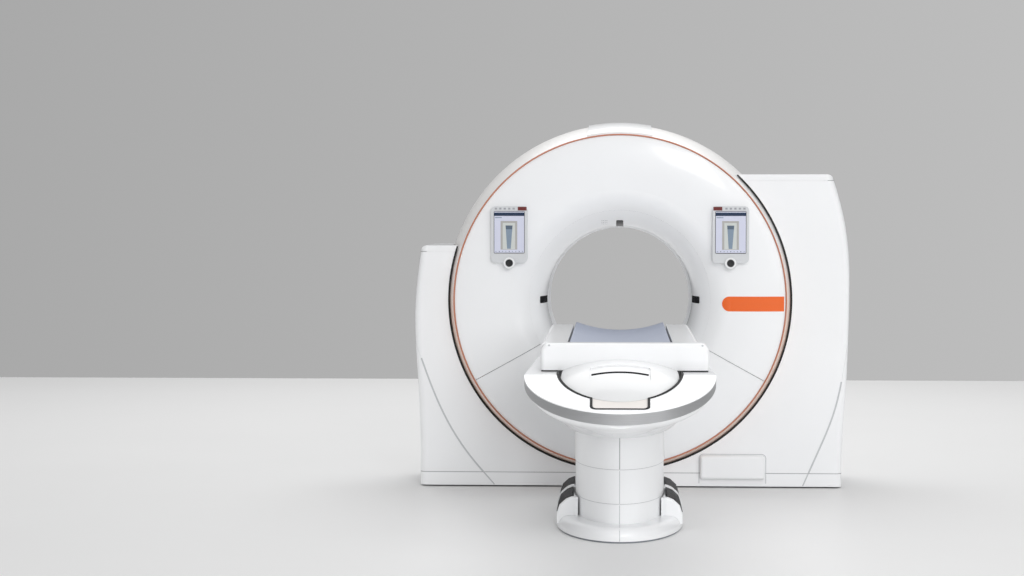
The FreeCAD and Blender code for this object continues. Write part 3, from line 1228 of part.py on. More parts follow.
def make_underside():
    """The bowl from the metal band down to the column: cross-sections joined along the table."""
    wide, tip = mm(s.carrier_wide), mm(s.carrier_nose)
    low, inset, lap = mm(s.carrier_low), 8.0, 6.0       # the bowl stands in from the band and reaches up into the rim
    band_side, band_tip = mm(s.band_side), mm(s.band_tip)
    level = mm(s.carrier_top) - band_side + lap
    column_front, round_start = -mm(s.column_nose), -mm(s.column_nose) + mm(s.column_nose_long)
    collar, narrow = 10.0, mm(s.keel_half)              # the keel's flat is a collar larger than the column
    front_keel = low + mm(s.keel_rise)

    def half_at(y):
        taper = mm(s.carrier_half) - mm(s.carrier_rear_half)
        return mm(s.carrier_half) - inset - taper * (y + wide) / (wide - mm(s.carrier_rear))

    def keel_half_at(y):
        share = min(1.0, max(0.0, (round_start - y) / (round_start - column_front + collar)))
        return max(narrow, (mm(s.column_half) + collar) * math.sqrt(1 - share ** 2))
    sections = []
    for share in (0.985, 0.93, 0.8, 0.55, 0.25):
        y = -wide - (tip - wide - inset) * share
        half = (mm(s.carrier_half) - inset) * math.sqrt(1 - share ** 2)
        top = top_at(y) - band_side - (band_tip - band_side) * share + lap
        keel = top - lap - 4 - (level - lap - front_keel) * (1 - share) ** 0.8 - 6 * share
        sections.append(hull_section(y, half, top, keel, narrow * math.sqrt(1 - share ** 2)))
    sections.append(hull_section(-wide, half_at(-wide), level, front_keel, narrow))
    nose = Part.makeLoft(sections, True, False)
    steps = []
    for share in (0.0, 0.35, 0.7, 1.0):
        y = -wide + (column_front - collar + wide) * share
        steps.append(hull_section(y, half_at(y), level, front_keel + (low - front_keel) * share, narrow))
    for share in (0.98, 0.9, 0.75, 0.5, 0.25, 0.0):
        y = round_start + (column_front - collar - round_start) * share
        steps.append(hull_section(y, half_at(y), level, low, keel_half_at(y)))
    back, head = -mm(s.column_rear) + 20, -mm(s.carrier_rear) - inset
    steps.append(hull_section(back, half_at(back), level, low, mm(s.column_half) + collar))
    steps.append(hull_section(head, half_at(head), level, low + mm(s.keel_head_rise), mm(s.column_half) + collar))
    return nose.fuse(Part.makeLoft(steps, True, True))


def chin_plan(gap, low, high):
    """The chin's plan as an upright block: straight sides and an elliptic front, wider by a gap all round."""
    inside = mm(s.end_face) - mm(s.end_thick) / 2 - gap
    plan = oval(mm(s.chin_half) + gap, mm(s.chin_nose) + gap, mm(s.chin_long) + gap, inside, 20.0, low)
    return plan.extrude(vec(0, 0, high - low))


def chin_dome(sink):
    """The ball that shapes the chin's crown, lowered by sink."""
    matrix = FreeCAD.Matrix()
    matrix.scale(mm(s.dome_half) - sink, mm(s.dome_long) - sink, mm(s.dome_high) - sink)
    ball = Part.makeSphere(1.0).transformGeometry(matrix)
    ball.translate(vec(0, -s.end_face, s.carrier_top + s.chin_rise - s.dome_high))
    return ball


def insert_plan(gap, low, high):
    """The nose insert's plan with round front corners."""
    half, front = mm(s.insert_half) + gap, -mm(s.insert_front) - gap
    rear = -mm(s.chin_nose) + mm(s.chin_long) / 2
    plate = slab((-half, front, low), (half, rear, high))
    corners = [edge for edge in plate.Edges if edge.BoundBox.ZLength > 1 and edge.BoundBox.YMin < front + 1]
    return plate.makeFillet(mm(s.insert_round), corners)


def make_carrier():
    """The long carrier with its rounded, falling nose, the metal band round it and the insert in its pocket."""
    low, high = 400.0, mm(s.carrier_top) + 10
    edge_low = mm(s.band_below)
    plan = spoon(0.0, low).extrude(vec(0, 0, high - low))
    inner_plan = spoon(mm(s.band_thick), low).extrude(vec(0, 0, high - low))
    rim = plan.common(side_slab(0.0, mm(s.band_side), mm(s.band_tip)))
    band_zone = side_slab(edge_low, mm(s.band_side), mm(s.band_tip))
    hull = rim.fuse(make_underside())
    band = plan.cut(inner_plan).common(band_zone)
    head = slab((-FAR, -mm(s.carrier_rear) - mm(s.band_thick) - 1, 0), (FAR, FAR, FAR))
    band = band.cut(head)
    feature("trim_band", band)
    hull = hull.cut(band)

    depth, clear = mm(s.pocket_depth), mm(s.seat_gap)
    room = chin_plan(mm(s.chin_gap), low, high + 200).fuse(insert_plan(mm(s.chin_gap), low, high + 200))
    hull = hull.cut(side_slab(-60.0, depth, depth).common(room))

    shaft = column_oval(-mm(s.sleeve_gap), low - 100).extrude(vec(0, 0, mm(s.mast_top) - low + 100))
    tray = slab((-mm(s.frame_half) - clear, -mm(frame_foot) - clear, mm(s.mast_top)),
                (mm(s.frame_half) + clear, -mm(frame_head) + clear, high))
    feature("carrier_cover", hull.cut(shaft).cut(tray))

    insert = insert_plan(0.0, low, high + 200).common(side_slab(2.0, depth, depth))
    feature("carrier_insert", insert.cut(chin_plan(0.5, low, high + 200)))


frame_foot = s.end_face - s.end_thick / 2 - 20
frame_head = s.deck_head + 20


def make_carrier_frame():
    """The steel frame on the mast: a plate, two ribs that carry the deck and two slide rails for the tabletop."""
    long = frame_foot - frame_head
    plate_top = s.mast_top + s.frame_plate
    pieces = [box("frame_plate_block", -s.frame_half, -frame_foot, s.mast_top, s.frame_half * 2, long, s.frame_plate),
              make_mast_stage("mast_stage_3", mast_step * 2, s.mast_third_low, s.mast_top + 1)]
    for side, x in (("left", -s.frame_half), ("right", s.frame_half - s.rib_thick)):
        pieces.append(box("rib_" + side, x, -frame_foot, plate_top - 1, s.rib_thick, long, s.deck_low - plate_top + 1))
    finish(fuse("carrier_frame", pieces), "carrier_frame")


def make_deck():
    """The deck: a moulded trough with a wing on each side, well rounded, and two slide rails on its floor."""
    foot, head = -mm(s.end_face) + mm(s.end_thick) + mm(s.seat_gap), -mm(s.deck_head)
    half, low, top = mm(s.deck_half), mm(s.deck_low), mm(s.deck_top)
    block = slab((-half, foot, low), (half, head, top))
    upper = [edge for edge in block.Edges if edge.BoundBox.ZMin > top - 1 and edge.BoundBox.YLength > 100]
    block = block.makeFillet(mm(s.deck_round), upper)
    channel = slab((-mm(s.channel_half), foot - 1, mm(s.channel_floor)), (mm(s.channel_half), head + 1, top + 1))
    deck = block.cut(channel)
    rail_top = mm(s.top_under) - mm(s.seat_gap)
    half_rail = mm(s.rail_width) / 2
    for middle in (-mm(s.rail_across), mm(s.rail_across)):
        rail = slab((middle - half_rail, foot + 20, mm(s.channel_floor) - 1), (middle + half_rail, head - 10, rail_top))
        deck = deck.fuse(rail)
    feature("deck", deck)


def make_end_cover():
    """The deck's foot end: a wide face with round upper corners, and the chin with its grip recess and slot."""
    low, top = mm(s.deck_low), mm(s.deck_top)
    front, rear = -mm(s.end_face), -mm(s.end_face) + mm(s.end_thick)
    face = slab((-mm(s.end_left), front, low), (mm(s.end_right), rear, top))
    corners = [edge for edge in face.Edges if edge.BoundBox.ZMin > top - 1 and edge.BoundBox.YLength > 10]
    face = face.makeFillet(mm(s.end_corner), corners)
    rim = [edge for edge in face.Edges if edge.BoundBox.YMax < front + 1 and edge.BoundBox.ZMax > low + 1]
    face = face.makeFillet(mm(s.end_round), rim)

    floor = side_slab(-400.0, mm(s.pocket_depth) - mm(s.seat_gap), mm(s.pocket_depth) - mm(s.seat_gap))
    crown = chin_dome(0.0)
    chin = chin_plan(0.0, 0.0, FAR).common(crown).common(floor)
    grip = slab((-mm(s.grip_half), front - mm(s.grip_front), low - 100), (mm(s.grip_half), front - mm(s.grip_rear), FAR))
    grip = grip.makeFillet(12.0, [edge for edge in grip.Edges if edge.BoundBox.ZLength > 10])
    chin = chin.cut(grip.cut(chin_dome(mm(s.grip_deep))))
    middle = front - (mm(s.grip_front) + mm(s.grip_rear)) / 2 - 12
    half_slot, slot_end = mm(s.slot_width) / 2, mm(s.grip_half) - 8
    slot = slab((-slot_end, middle - half_slot, low - 100), (slot_end, middle + half_slot, FAR))
    chin = chin.cut(slot.cut(chin_dome(mm(s.slot_deep))))
    feature("end_cover", face.fuse(chin))


def make_tabletop():
    """The lying surface: a carbon fibre trough with a flat keel, and the mat that fills its hollow."""
    half, dip, thick = mm(s.top_half), mm(s.top_dip), mm(s.mat_thick)
    foot, head = -mm(s.top_foot), -mm(s.top_head)
    top = mm(s.deck_top)
    under = top - thick

    def hollow(z, sink=0.0):
        return Part.Arc(vec(-half, foot, z), vec(0, foot, z - dip - sink), vec(half, foot, z)).toShape()
    keel = [vec(half, foot, under), vec(half, foot, s.top_edge), vec(s.top_flat, foot, s.top_under),
            vec(-s.top_flat, foot, s.top_under), vec(-half, foot, s.top_edge), vec(-half, foot, under)]
    edges = [hollow(under)] + [Part.LineSegment(a, b).toShape() for a, b in zip(keel, keel[1:])]
    feature("tabletop_cradle", face_of(edges).extrude(vec(0, head - foot, 0)))
    lower_mat = hollow(under + mm(s.seat_gap))
    sides = [Part.LineSegment(vec(x, foot, under + mm(s.seat_gap)), vec(x, foot, top)).toShape() for x in (-half, half)]
    feature("mat", face_of([hollow(top), lower_mat] + sides).extrude(vec(0, head - foot - 6, 0)))


# ---- build, check and write -------------------------------------------------

make_base_frame()
make_levelling_feet()
make_stands()
make_trunnion_bearings()
make_tilt_gearmotor()
make_cabinets()
make_access_cover()

make_stator_frame()
make_bearing()
make_rim()
make_accent_ring()
make_front_covers()
make_name_strip()
make_panels()
make_rear_cover()
make_bore()

make_rotor_plate()
make_slip_ring()
make_xray_tube()
make_collimator()
make_detector_arc()
make_rotor_box("high_voltage_generator", 236.0, 560.0, 200.0, 330.0, -60.0)
make_rotor_box("tube_cooler", 60.0, 560.0, 190.0, 300.0, -90.0)
make_counterweight()

make_table_base()
make_base_cover()
make_pedal_guards()
make_pedals()
make_mast()
make_sleeves()
make_carrier()
make_carrier_frame()
make_deck()
make_end_cover()
make_tabletop()

doc.recompute()
for item in doc.Objects:
    if "Invalid" in item.State or "Error" in item.State:
        raise RuntimeError("%s did not build: %s" % (item.Label, item.State))
for item in sub_parts:
    if item.Shape.isNull() or not item.Shape.isValid() or not item.Shape.Solids:
        raise RuntimeError("%s has no valid solid" % item.Label)

os.makedirs("parts", exist_ok=True)
for item in sub_parts:
    item.Shape.exportStep("parts/%s.step" % item.Label)
print("%d sub-parts written" % len(sub_parts))
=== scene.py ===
# %% [markdown]
# # A CT scanner, finished in Blender
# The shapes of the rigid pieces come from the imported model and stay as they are.
# This lesson gives each of them the surface it has on the real machine, replaces the plain
# mat with a soft one, and adds what is too thin to be worth a solid: seams, seals and the
# picture on the touch screens.  Every length is in metres, and +Z is up.

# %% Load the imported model
import bpy
import json
import math
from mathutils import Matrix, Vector


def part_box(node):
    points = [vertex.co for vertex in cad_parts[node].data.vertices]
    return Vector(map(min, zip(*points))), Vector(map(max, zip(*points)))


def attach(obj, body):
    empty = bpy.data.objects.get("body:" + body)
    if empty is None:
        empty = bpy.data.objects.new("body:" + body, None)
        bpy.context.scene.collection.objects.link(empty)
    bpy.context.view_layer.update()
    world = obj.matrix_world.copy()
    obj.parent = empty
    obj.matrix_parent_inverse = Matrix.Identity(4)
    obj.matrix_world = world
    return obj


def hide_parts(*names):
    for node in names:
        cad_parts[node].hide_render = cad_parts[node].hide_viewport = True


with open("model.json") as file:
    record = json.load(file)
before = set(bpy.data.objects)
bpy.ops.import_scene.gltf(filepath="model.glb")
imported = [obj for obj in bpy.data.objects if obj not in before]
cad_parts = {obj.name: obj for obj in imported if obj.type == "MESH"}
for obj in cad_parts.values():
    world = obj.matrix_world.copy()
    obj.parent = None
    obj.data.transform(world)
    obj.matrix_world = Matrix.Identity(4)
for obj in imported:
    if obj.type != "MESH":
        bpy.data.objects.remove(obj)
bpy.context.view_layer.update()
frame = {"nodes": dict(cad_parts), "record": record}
nodes = frame["nodes"]
MM = 0.001
SIDES = (("left", -1), ("right", 1))

# %% [markdown]
# ## Colours and nodes
# A colour is written the way a paint chart or a web page writes it, as an sRGB hex value.
# Blender's shaders calculate with linear light, so one function turns the first into the
# second.  A second function adds a node to a material: what it is given by name is set on
# the node, and what it is given for a socket is a value, or another node or its output.
# Others start and close a material, and put a finished object in the scene.

# %% Colour and node helpers
def linear(hex_colour):
    """An sRGB hex colour as linear red, green, blue and alpha."""
    parts = [int(hex_colour[i:i + 2], 16) / 255 for i in (1, 3, 5)]
    return tuple(c / 12.92 if c <= 0.04045 else ((c + 0.055) / 1.055) ** 2.4 for c in parts) + (1.0,)


def add(tree, kind, sockets=None, **settings):
    """Add a node; sockets maps an input to a value, an output, or a node for its first output."""
    node = tree.nodes.new("ShaderNode" + kind)
    for name, value in settings.items():
        setattr(node, name, value)
    for name, value in (sockets or {}).items():
        if isinstance(value, bpy.types.Node):
            value = value.outputs[0]
        if isinstance(value, bpy.types.NodeSocket):
            tree.links.new(value, node.inputs[name])
        else:
            node.inputs[name].default_value = value
    return node


def new_material(name):
    """A material that holds only its output node, and its tree of nodes."""
    material = bpy.data.materials.new(name)
    material.use_nodes = True
    tree = material.node_tree
    tree.nodes.clear()
    add(tree, "OutputMaterial")
    return material, tree


def surfaced(material, shader):
    """The material, once its shader is joined to its output."""
    output = material.node_tree.nodes["Material Output"]
    material.node_tree.links.new(shader.outputs[0], output.inputs["Surface"])
    return material


def places(tree):
    """Places on the piece, in metres; a piece's own frame moves with it."""
    return add(tree, "TexCoord").outputs["Object"]


def placed(name, data):
    """A new object in the scene that holds a mesh, a lamp or a camera."""
    thing = bpy.data.objects.new(name, data)
    bpy.context.scene.collection.objects.link(thing)
    return thing


materials = {}
print("helpers ready: white", [round(c, 3) for c in linear("#F2F2F2")[:3]])

# %% [markdown]
# ## Moulded covers
# The large covers are moulded polyurethane foam with a solid skin, sprayed with a
# two-component gloss lacquer.  The eye sees an even white with a wide, slightly soft
# highlight, and close up the faint ripple of sprayed lacquer, called orange peel.
# Real orange peel has waves 1 to 3 mm apart.  That is finer than a pixel here, so it is
# drawn at 6 mm and very shallow.  Two of the covers get a painted shade low down, so a
# lacquer can have a second colour below a height, which blends into the first above it.

# %% Sprayed gloss lacquer
ORANGE_PEEL = 6 * MM


def lacquer(name, base, shade, roughness, coat, lower=None):
    """Lacquer with an orange-peel ripple; lower is a colour of painted shade and the two heights where it
    gives way.
    """
    material, tree = new_material(name)
    where = places(tree)
    drift = add(tree, "TexNoise", {"Vector": where, "Scale": 1.3, "Detail": 2.0, "Roughness": 0.5})
    tone = add(tree, "Mix", {0: drift, 6: linear(base), 7: linear(shade)}, data_type="RGBA")
    # The lower colour is painted shade, blended in by height.
    if lower:
        low_shade_colour, low_end, high_end = lower
        height = add(tree, "SeparateXYZ", {0: where}).outputs[2]
        share = add(tree, "MapRange", {0: height, 1: low_end, 2: high_end})
        tone = add(tree, "Mix", {0: share, 6: linear(low_shade_colour), 7: tone.outputs[2]}, data_type="RGBA")
    ripple = add(tree, "TexNoise", {"Vector": where, "Scale": 1 / ORANGE_PEEL, "Detail": 1.0})
    relief = add(tree, "Bump", {"Strength": 0.10, "Distance": 0.2 * MM, "Height": ripple})
    rough = add(tree, "MapRange", {0: drift, 3: roughness - 0.04, 4: roughness + 0.04})
    shader = add(tree, "BsdfPrincipled", {
        "Base Color": tone.outputs[2], "Roughness": rough, "Normal": relief,
        "IOR": 1.5, "Coat Weight": coat, "Coat Roughness": 0.08})
    return surfaced(material, shader)


materials["cover_white"] = lacquer("white_gloss_lacquer", "#F3F4F5", "#EEEFF1", 0.32, 0.35)
# The rim's warm colour low down is painted shade, with a painted reflection of the orange ring.
materials["rim_grey"] = lacquer("satin_lacquer_painted_low_shade", "#F4F3F2", "#F0EFEE", 0.42, 0.10,
                                ("#F2DBCE", 0.95, 1.35))
materials["insert_white"] = lacquer("warm_white_satin_lacquer", "#DFDAD6", "#DAD4CF", 0.45, 0.05)
materials["accent_orange"] = lacquer("orange_gloss_lacquer", "#EE6A22", "#E8621C", 0.30, 0.30)
materials["tunnel_white"] = lacquer("white_satin_polycarbonate", "#ECEDEE", "#E7E8EA", 0.40, 0.0)
silver_lacquer = lacquer("silver_grey_lacquer", "#D3D5D7", "#CDCFD2", 0.36, 0.15)
burnt_orange = lacquer("burnt_orange_lacquer", "#C07B60", "#B87358", 0.40, 0.10)
# The end cover's chin is greyer below 0.86 m: painted shade on a face that looks forward.
shaded_white = lacquer("white_lacquer_painted_low_shade", "#F1F2F3", "#EDEEF0", 0.32, 0.30,
                       ("#DFE0E1", 0.80, 0.86))
print("lacquered:", ", ".join(materials))

# %% [markdown]
# ## Polyester window
# The ring that the x-ray beam passes is a thin polyester film, stretched like a drum skin.
# It is milky, so plain scattering with a soft gloss is enough.  Its two close tones drift
# into each other, and the same recipe serves for bare metal, trim and the floor.

# %% Mottled surfaces
def mottled(name, colour, shade, scale, detail, surface, rough=None, relief=None, stretch=None):
    """Two close tones in a mottle; surface holds shader inputs, rough a range of roughness,
    relief a strength and a depth, and stretch a scale for each direction."""
    material, tree = new_material(name)
    where = places(tree)
    if stretch:
        where = add(tree, "Mapping", {"Vector": where, "Scale": stretch})
    mottle = add(tree, "TexNoise", {"Vector": where, "Scale": scale, "Detail": detail})
    tone = add(tree, "Mix", {0: mottle, 6: linear(colour), 7: linear(shade)}, data_type="RGBA")
    inputs = {"Base Color": tone.outputs[2], **surface}
    if rough:
        inputs["Roughness"] = add(tree, "MapRange", {0: mottle, 3: rough[0], 4: rough[1]})
    if relief:
        inputs["Normal"] = add(tree, "Bump", {
            "Strength": relief[0], "Distance": relief[1], "Height": mottle})
    return surfaced(material, add(tree, "BsdfPrincipled", inputs))


materials["window_film"] = mottled("milky_polyester_film", "#D3D6DA", "#C6CACF", 9.0, 3.0,
                                   {"Roughness": 0.22, "IOR": 1.64})
print("film ready")

# %% [markdown]
# ## Smoked acrylic, black polyamide and rubber
# The laser windows are smoked acrylic: nearly black, with a polish that has gone slightly
# dull from wiping.  The push knobs are black polyamide, moulded in a spark-eroded tool,
# which leaves a fine matt grain.  The foot pedals are black rubber, moulded with ribs
# against slipping, 10 mm apart.

# %% Dark plastics
def smoked_acrylic():
    material, tree = new_material("smoked_acrylic")
    haze = add(tree, "TexNoise", {"Vector": places(tree), "Scale": 60.0, "Detail": 2.0})
    rough = add(tree, "MapRange", {0: haze, 3: 0.20, 4: 0.30})
    shader = add(tree, "BsdfPrincipled", {
        "Base Color": linear("#1A1B1E"), "Roughness": rough, "IOR": 1.49,
        "Specular IOR Level": 0.15})
    return surfaced(material, shader)


def ribbed_rubber():
    material, tree = new_material("black_ribbed_rubber")
    where = places(tree)
    rib_space = 10 * MM
    # The texture's waves repeat every 0.31 scaled metres, and 1 / pi is close to that.
    ribs = add(tree, "TexWave", {"Vector": where, "Scale": 1 / (rib_space * math.pi)}, bands_direction="Y")
    dust = add(tree, "TexNoise", {"Vector": where, "Scale": 30.0, "Detail": 4.0})
    relief = add(tree, "Bump", {"Strength": 0.6, "Distance": 1.0 * MM, "Height": ribs.outputs["Fac"]})
    tone = add(tree, "Mix", {0: dust, 6: linear("#0F0F10"), 7: linear("#1C1C1E")}, data_type="RGBA")
    shader = add(tree, "BsdfPrincipled", {
        "Base Color": tone.outputs[2], "Roughness": 0.55, "IOR": 1.52,
        "Specular IOR Level": 0.25, "Normal": relief})
    return surfaced(material, shader)


materials["dark_glass"] = smoked_acrylic()
PIT = 0.8 * MM
materials["knob_black"] = mottled("black_polyamide", "#17181A", "#222326", 1 / PIT, 2.0,
                                  {"Roughness": 0.5, "IOR": 1.53}, relief=(0.35, 0.05 * MM))
materials["pedal_rubber"] = ribbed_rubber()
print("dark plastics ready")

# %% [markdown]
# ## Brushed aluminium
# The band round the table's nose is aluminium strip, brushed along its length and clear
# anodised.  Brushing leaves scratches a few hundredths of a millimetre wide.  Drawn at
# that size they would vanish, so they are stretched noise with streaks 1.5 mm wide and
# 120 mm long.  The scratches run level, which on this band means that the noise changes
# fast with height and slowly along the other two directions.

# %% Brushed aluminium
STREAK_WIDTH, STREAK_LENGTH = 1.5 * MM, 120 * MM
materials["band_aluminium"] = mottled(
    "brushed_anodised_aluminium", "#B9BABC", "#D2D3D5", 1.0, 3.0, {"Metallic": 1.0}, (0.26, 0.40),
    relief=(0.15, 0.05 * MM), stretch=(1 / STREAK_LENGTH, 1 / STREAK_LENGTH, 1 / STREAK_WIDTH))
print("aluminium ready")

# %% [markdown]
# ## Steel and castings
# What lies inside or under the covers is plain: beams and brackets with a powder coat,
# turned and ground steel, and a machined aluminium casting.  Powder coat has a deeper
# orange peel than lacquer, drawn at 4 mm.  The marks of turning and grinding are too fine
# to draw, so those faces get a soft mottle instead, and the casting a coarser, duller one.

# %% Frame metals
def powder_coat(name, colour, shade):
    material, tree = new_material(name)
    where = places(tree)
    peel_size = 4 * MM
    peel = add(tree, "TexNoise", {"Vector": where, "Scale": 1 / peel_size, "Detail": 2.0})
    drift = add(tree, "TexNoise", {"Vector": where, "Scale": 3.0, "Detail": 3.0})
    tone = add(tree, "Mix", {0: drift, 6: linear(colour), 7: linear(shade)}, data_type="RGBA")
    relief = add(tree, "Bump", {"Strength": 0.3, "Distance": 0.3 * MM, "Height": peel})
    shader = add(tree, "BsdfPrincipled", {
        "Base Color": tone.outputs[2], "Roughness": 0.48, "IOR": 1.5, "Normal": relief})
    return surfaced(material, shader)


def metal(name, dark, light, grain, roughness):
    limits = (roughness - 0.06, roughness + 0.08)
    return mottled(name, dark, light, 1 / grain, 4.0, {"Metallic": 1.0}, limits)


materials["frame_steel"] = powder_coat("grey_powder_coat", "#8B9096", "#7F848A")
materials["unit_metal"] = powder_coat("blue_grey_powder_coat", "#8792A0", "#7B8694")
materials["bright_steel"] = metal("ground_steel", "#9A9B9E", "#BDBEC0", 8 * MM, 0.30)
materials["stator_casting"] = metal("machined_aluminium_casting", "#9C9EA1", "#B4B6B8",
                                    15 * MM, 0.45)
materials["slip_brass"] = metal("turned_brass", "#B5904A", "#CDA862", 6 * MM, 0.28)
print("frame metals ready")

# %% [markdown]
# ## Carbon fibre
# The lying board is carbon fibre laminate, because it hardly stops x-rays.  Its cloth is a
# twill: bundles of fibre 3 mm wide that pass over two and under two, so the checks step
# along diagonally.  A checker of two bundles a square, turned by 45 degrees, gives the
# diagonal; the clear resin on top gives the gloss.

# %% Carbon fibre twill
def carbon_twill():
    material, tree = new_material("carbon_fibre_twill")
    square = 2 * 3 * MM
    turn = add(tree, "Mapping", {
        "Vector": places(tree), "Rotation": (0, 0, math.radians(45)), "Scale": [1 / square] * 3})
    checks = add(tree, "TexChecker", {
        "Vector": turn, "Scale": 1.0, "Color1": linear("#1E2023"), "Color2": linear("#34373B")})
    shader = add(tree, "BsdfPrincipled", {
        "Base Color": checks, "Roughness": 0.30, "IOR": 1.55, "Coat Weight": 0.7,
        "Coat Roughness": 0.05})
    return surfaced(material, shader)


materials["cradle_composite"] = carbon_twill()
print("carbon fibre ready")

# %% [markdown]
# ## Coated fabric
# The mat is foam in a polyurethane-coated knit.  The coating is embossed with a fine
# leather grain, about 1.5 mm across, and it is satin, with a soft sheen at the edges.
# Voronoi cells are close to an embossed grain: each cell is one pebble.  They are drawn at
# 3 mm, twice the real size, so that they show close up.

# %% Coated fabric
def coated_fabric():
    material, tree = new_material("embossed_coated_fabric")
    where = places(tree)
    pebble = 3 * MM
    grain = add(tree, "TexVoronoi", {"Vector": where, "Scale": 1 / pebble}, feature="SMOOTH_F1")
    folds = add(tree, "TexNoise", {"Vector": where, "Scale": 6.0, "Detail": 3.0})
    height = add(tree, "Math", {0: grain, 1: 0.6}, operation="MULTIPLY")
    relief = add(tree, "Bump", {"Strength": 0.25, "Distance": 0.4 * MM, "Height": height})
    tone = add(tree, "Mix", {0: folds, 6: linear("#98A1B6"), 7: linear("#8C95AB")}, data_type="RGBA")
    shader = add(tree, "BsdfPrincipled", {
        "Base Color": tone.outputs[2], "Roughness": 0.52, "IOR": 1.48, "Sheen Weight": 0.15,
        "Normal": relief})
    return surfaced(material, shader)


materials["mat_blue"] = coated_fabric()
print("fabric ready")

# %% [markdown]
# ## Give every node its finish
# The record says which material slot each node has.  The slots' names are the keys above.

# %% Assign the finishes
for entry in frame["record"]["subparts"]:
    piece = nodes[entry["node"]]
    piece.data.materials.clear()
    piece.data.materials.append(materials[entry["material_slot"]])
# The two panels have a silver case, the thin ring round the drum is a darker orange than
# the strip, and the end cover's chin is greyer with painted shade.
for name, finish in (("left_panel", silver_lacquer), ("right_panel", silver_lacquer),
                     ("accent_ring", burnt_orange), ("end_cover", shaded_white)):
    nodes[name].data.materials[0] = finish

# %% [markdown]
# ## Small finishes for thin trim
# The thin trim has finishes of its own: a black that paints the shade in an open gap, two
# greys for closed seams, the colours of the screens and of the print above them, and a white cap.

# %% Trim finishes
def trim(name, colour, shade, roughness, light=0.0):
    """A plain trim finish with a slight mottle, and a glow where it is part of a screen."""
    glow = {"Emission Color": linear(colour), "Emission Strength": light} if light else {}
    return mottled(name, colour, shade, 40.0, 2.0, {"Roughness": roughness, **glow})


# This black is painted shade, for gaps that are dark only with shade.
gap_shade_black = trim("painted_gap_shade_black", "#101012", "#1A1A1C", 0.7)
seam_grey = trim("grey_seam_filler", "#8E9093", "#828487", 0.6)
seam_pale = trim("pale_seam_filler", "#C3C5C7", "#BBBDC0", 0.6)
screen_pale = trim("screen_background", "#C9CBDB", "#C3C6D8", 0.25, 0.12)
screen_navy = trim("screen_dark_blue", "#1F3350", "#1B2E49", 0.25)
screen_field = trim("screen_field_beige", "#B3B1AE", "#A9A7A4", 0.25)
screen_light = trim("screen_field_light", "#CFD3D0", "#C8CCC9", 0.25)
screen_blue = trim("screen_grey_blue", "#8797A8", "#7D8EA1", 0.25)
screen_deep = trim("screen_deep_grey_blue", "#5D6B7C", "#566475", 0.25)
legend_red = trim("legend_red", "#6E2522", "#64201E", 0.4)
legend_grey = trim("legend_grey", "#A2A4A8", "#989A9F", 0.4)
cap_white = trim("white_trim_cap", "#F0F1F2", "#ECEDEE", 0.35)
print("trim finishes ready")

# %% [markdown]
# ## Two ways to make a thin piece
# Trim is a closed, very shallow solid, so that it has no open edges.  A plate is a flat
# outline with a thickness.  A strip follows a line on a surface: at each point it has a
# short rectangle across the line, a little above the surface and a little below it.

# %% Thin pieces
PROUD, SUNK = 0.4 * MM, 0.6 * MM
FORWARD, UP = Vector((0, -1, 0)), Vector((0, 0, 1))


def new_piece(name, points, faces, finishes, body="gantry", smooth=False):
    """A mesh piece that rides on a body; finishes is one material or several, with an index per face."""
    mesh = bpy.data.meshes.new(name)
    several = isinstance(finishes, list)
    corners = [face[0] for face in faces] if several else faces
    mesh.from_pydata([tuple(p) for p in points], [], corners)
    for material in (finishes if several else [finishes]):
        mesh.materials.append(material)
    if several:
        mesh.polygons.foreach_set("material_index", [face[1] for face in faces])
    mesh.polygons.foreach_set("use_smooth", [smooth] * len(mesh.polygons))
    mesh.validate()
    mesh.update()
    piece = placed(name, mesh)
    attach(piece, body)
    return piece


def strip(name, line, outward, width, material, body="gantry",
          proud=PROUD, sunk=SUNK, closed=False):
    """A shallow strip along a line; outward is the surface's normal, one for all points or one each."""
    count = len(line)
    normals = outward if isinstance(outward, list) else [outward] * count
    points = []
    for i, p in enumerate(line):
        before = line[i - 1] if i > 0 or closed else p
        after = line[(i + 1) % count] if i < count - 1 or closed else p
        out = normals[i].normalized()
        side = (after - before).cross(out).normalized() * (width / 2)
        points += [p + side + out * proud, p - side + out * proud,
                   p - side - out * sunk, p + side - out * sunk]
    faces = []
    for i in range(count if closed else count - 1):
        a, b = 4 * i, 4 * ((i + 1) % count)
        faces += [(a + k, a + (k + 1) % 4, b + (k + 1) % 4, b + k) for k in range(4)]
    if not closed:
        last = 4 * (count - 1)
        faces += [(3, 2, 1, 0), (last, last + 1, last + 2, last + 3)]
    new_piece(name, points, faces, material, body)


def disc(x, z, radius, sides=12):
    """Corners of a round outline."""
    turns = [2 * math.pi * i / sides for i in range(sides)]
    return [(x + radius * math.cos(turn), z + radius * math.sin(turn)) for turn in turns]


def prism(start, count):
    """Faces of the closed solid between two rings of points that follow each other."""
    near, far = range(start, start + count), range(start + count, start + 2 * count)
    sides = [(near[i], far[i], far[(i + 1) % count], near[(i + 1) % count]) for i in range(count)]
    return [tuple(near), tuple(reversed(far))] + sides


print("thin piece makers ready")

# %% [markdown]
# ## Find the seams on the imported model
# A seam between two covers is a sharp edge of each.  To draw it, its line is read from the
# cover's own mesh: the points where a face that looks one way meets a face that looks
# another way.  The import gives each face its own copy of a point, so points are compared
# by place, to a hundredth of a millimetre.

# %% Read a sharp edge
def edge_points(node, first, second):
    """Points where a face of the first kind meets one of the second, with the second's normal."""
    mesh = nodes[node].data
    firsts, seconds = set(), {}
    for face in mesh.polygons:
        middle, normal = face.center, face.normal
        keys = [tuple(round(c, 5) for c in mesh.vertices[v].co) for v in face.vertices]
        if first(middle, normal):
            firsts.update(keys)
        elif second(middle, normal):
            for key in keys:
                seconds[key] = seconds.get(key, Vector()) + normal
    return [(Vector(key), seconds[key]) for key in seconds if key in firsts]


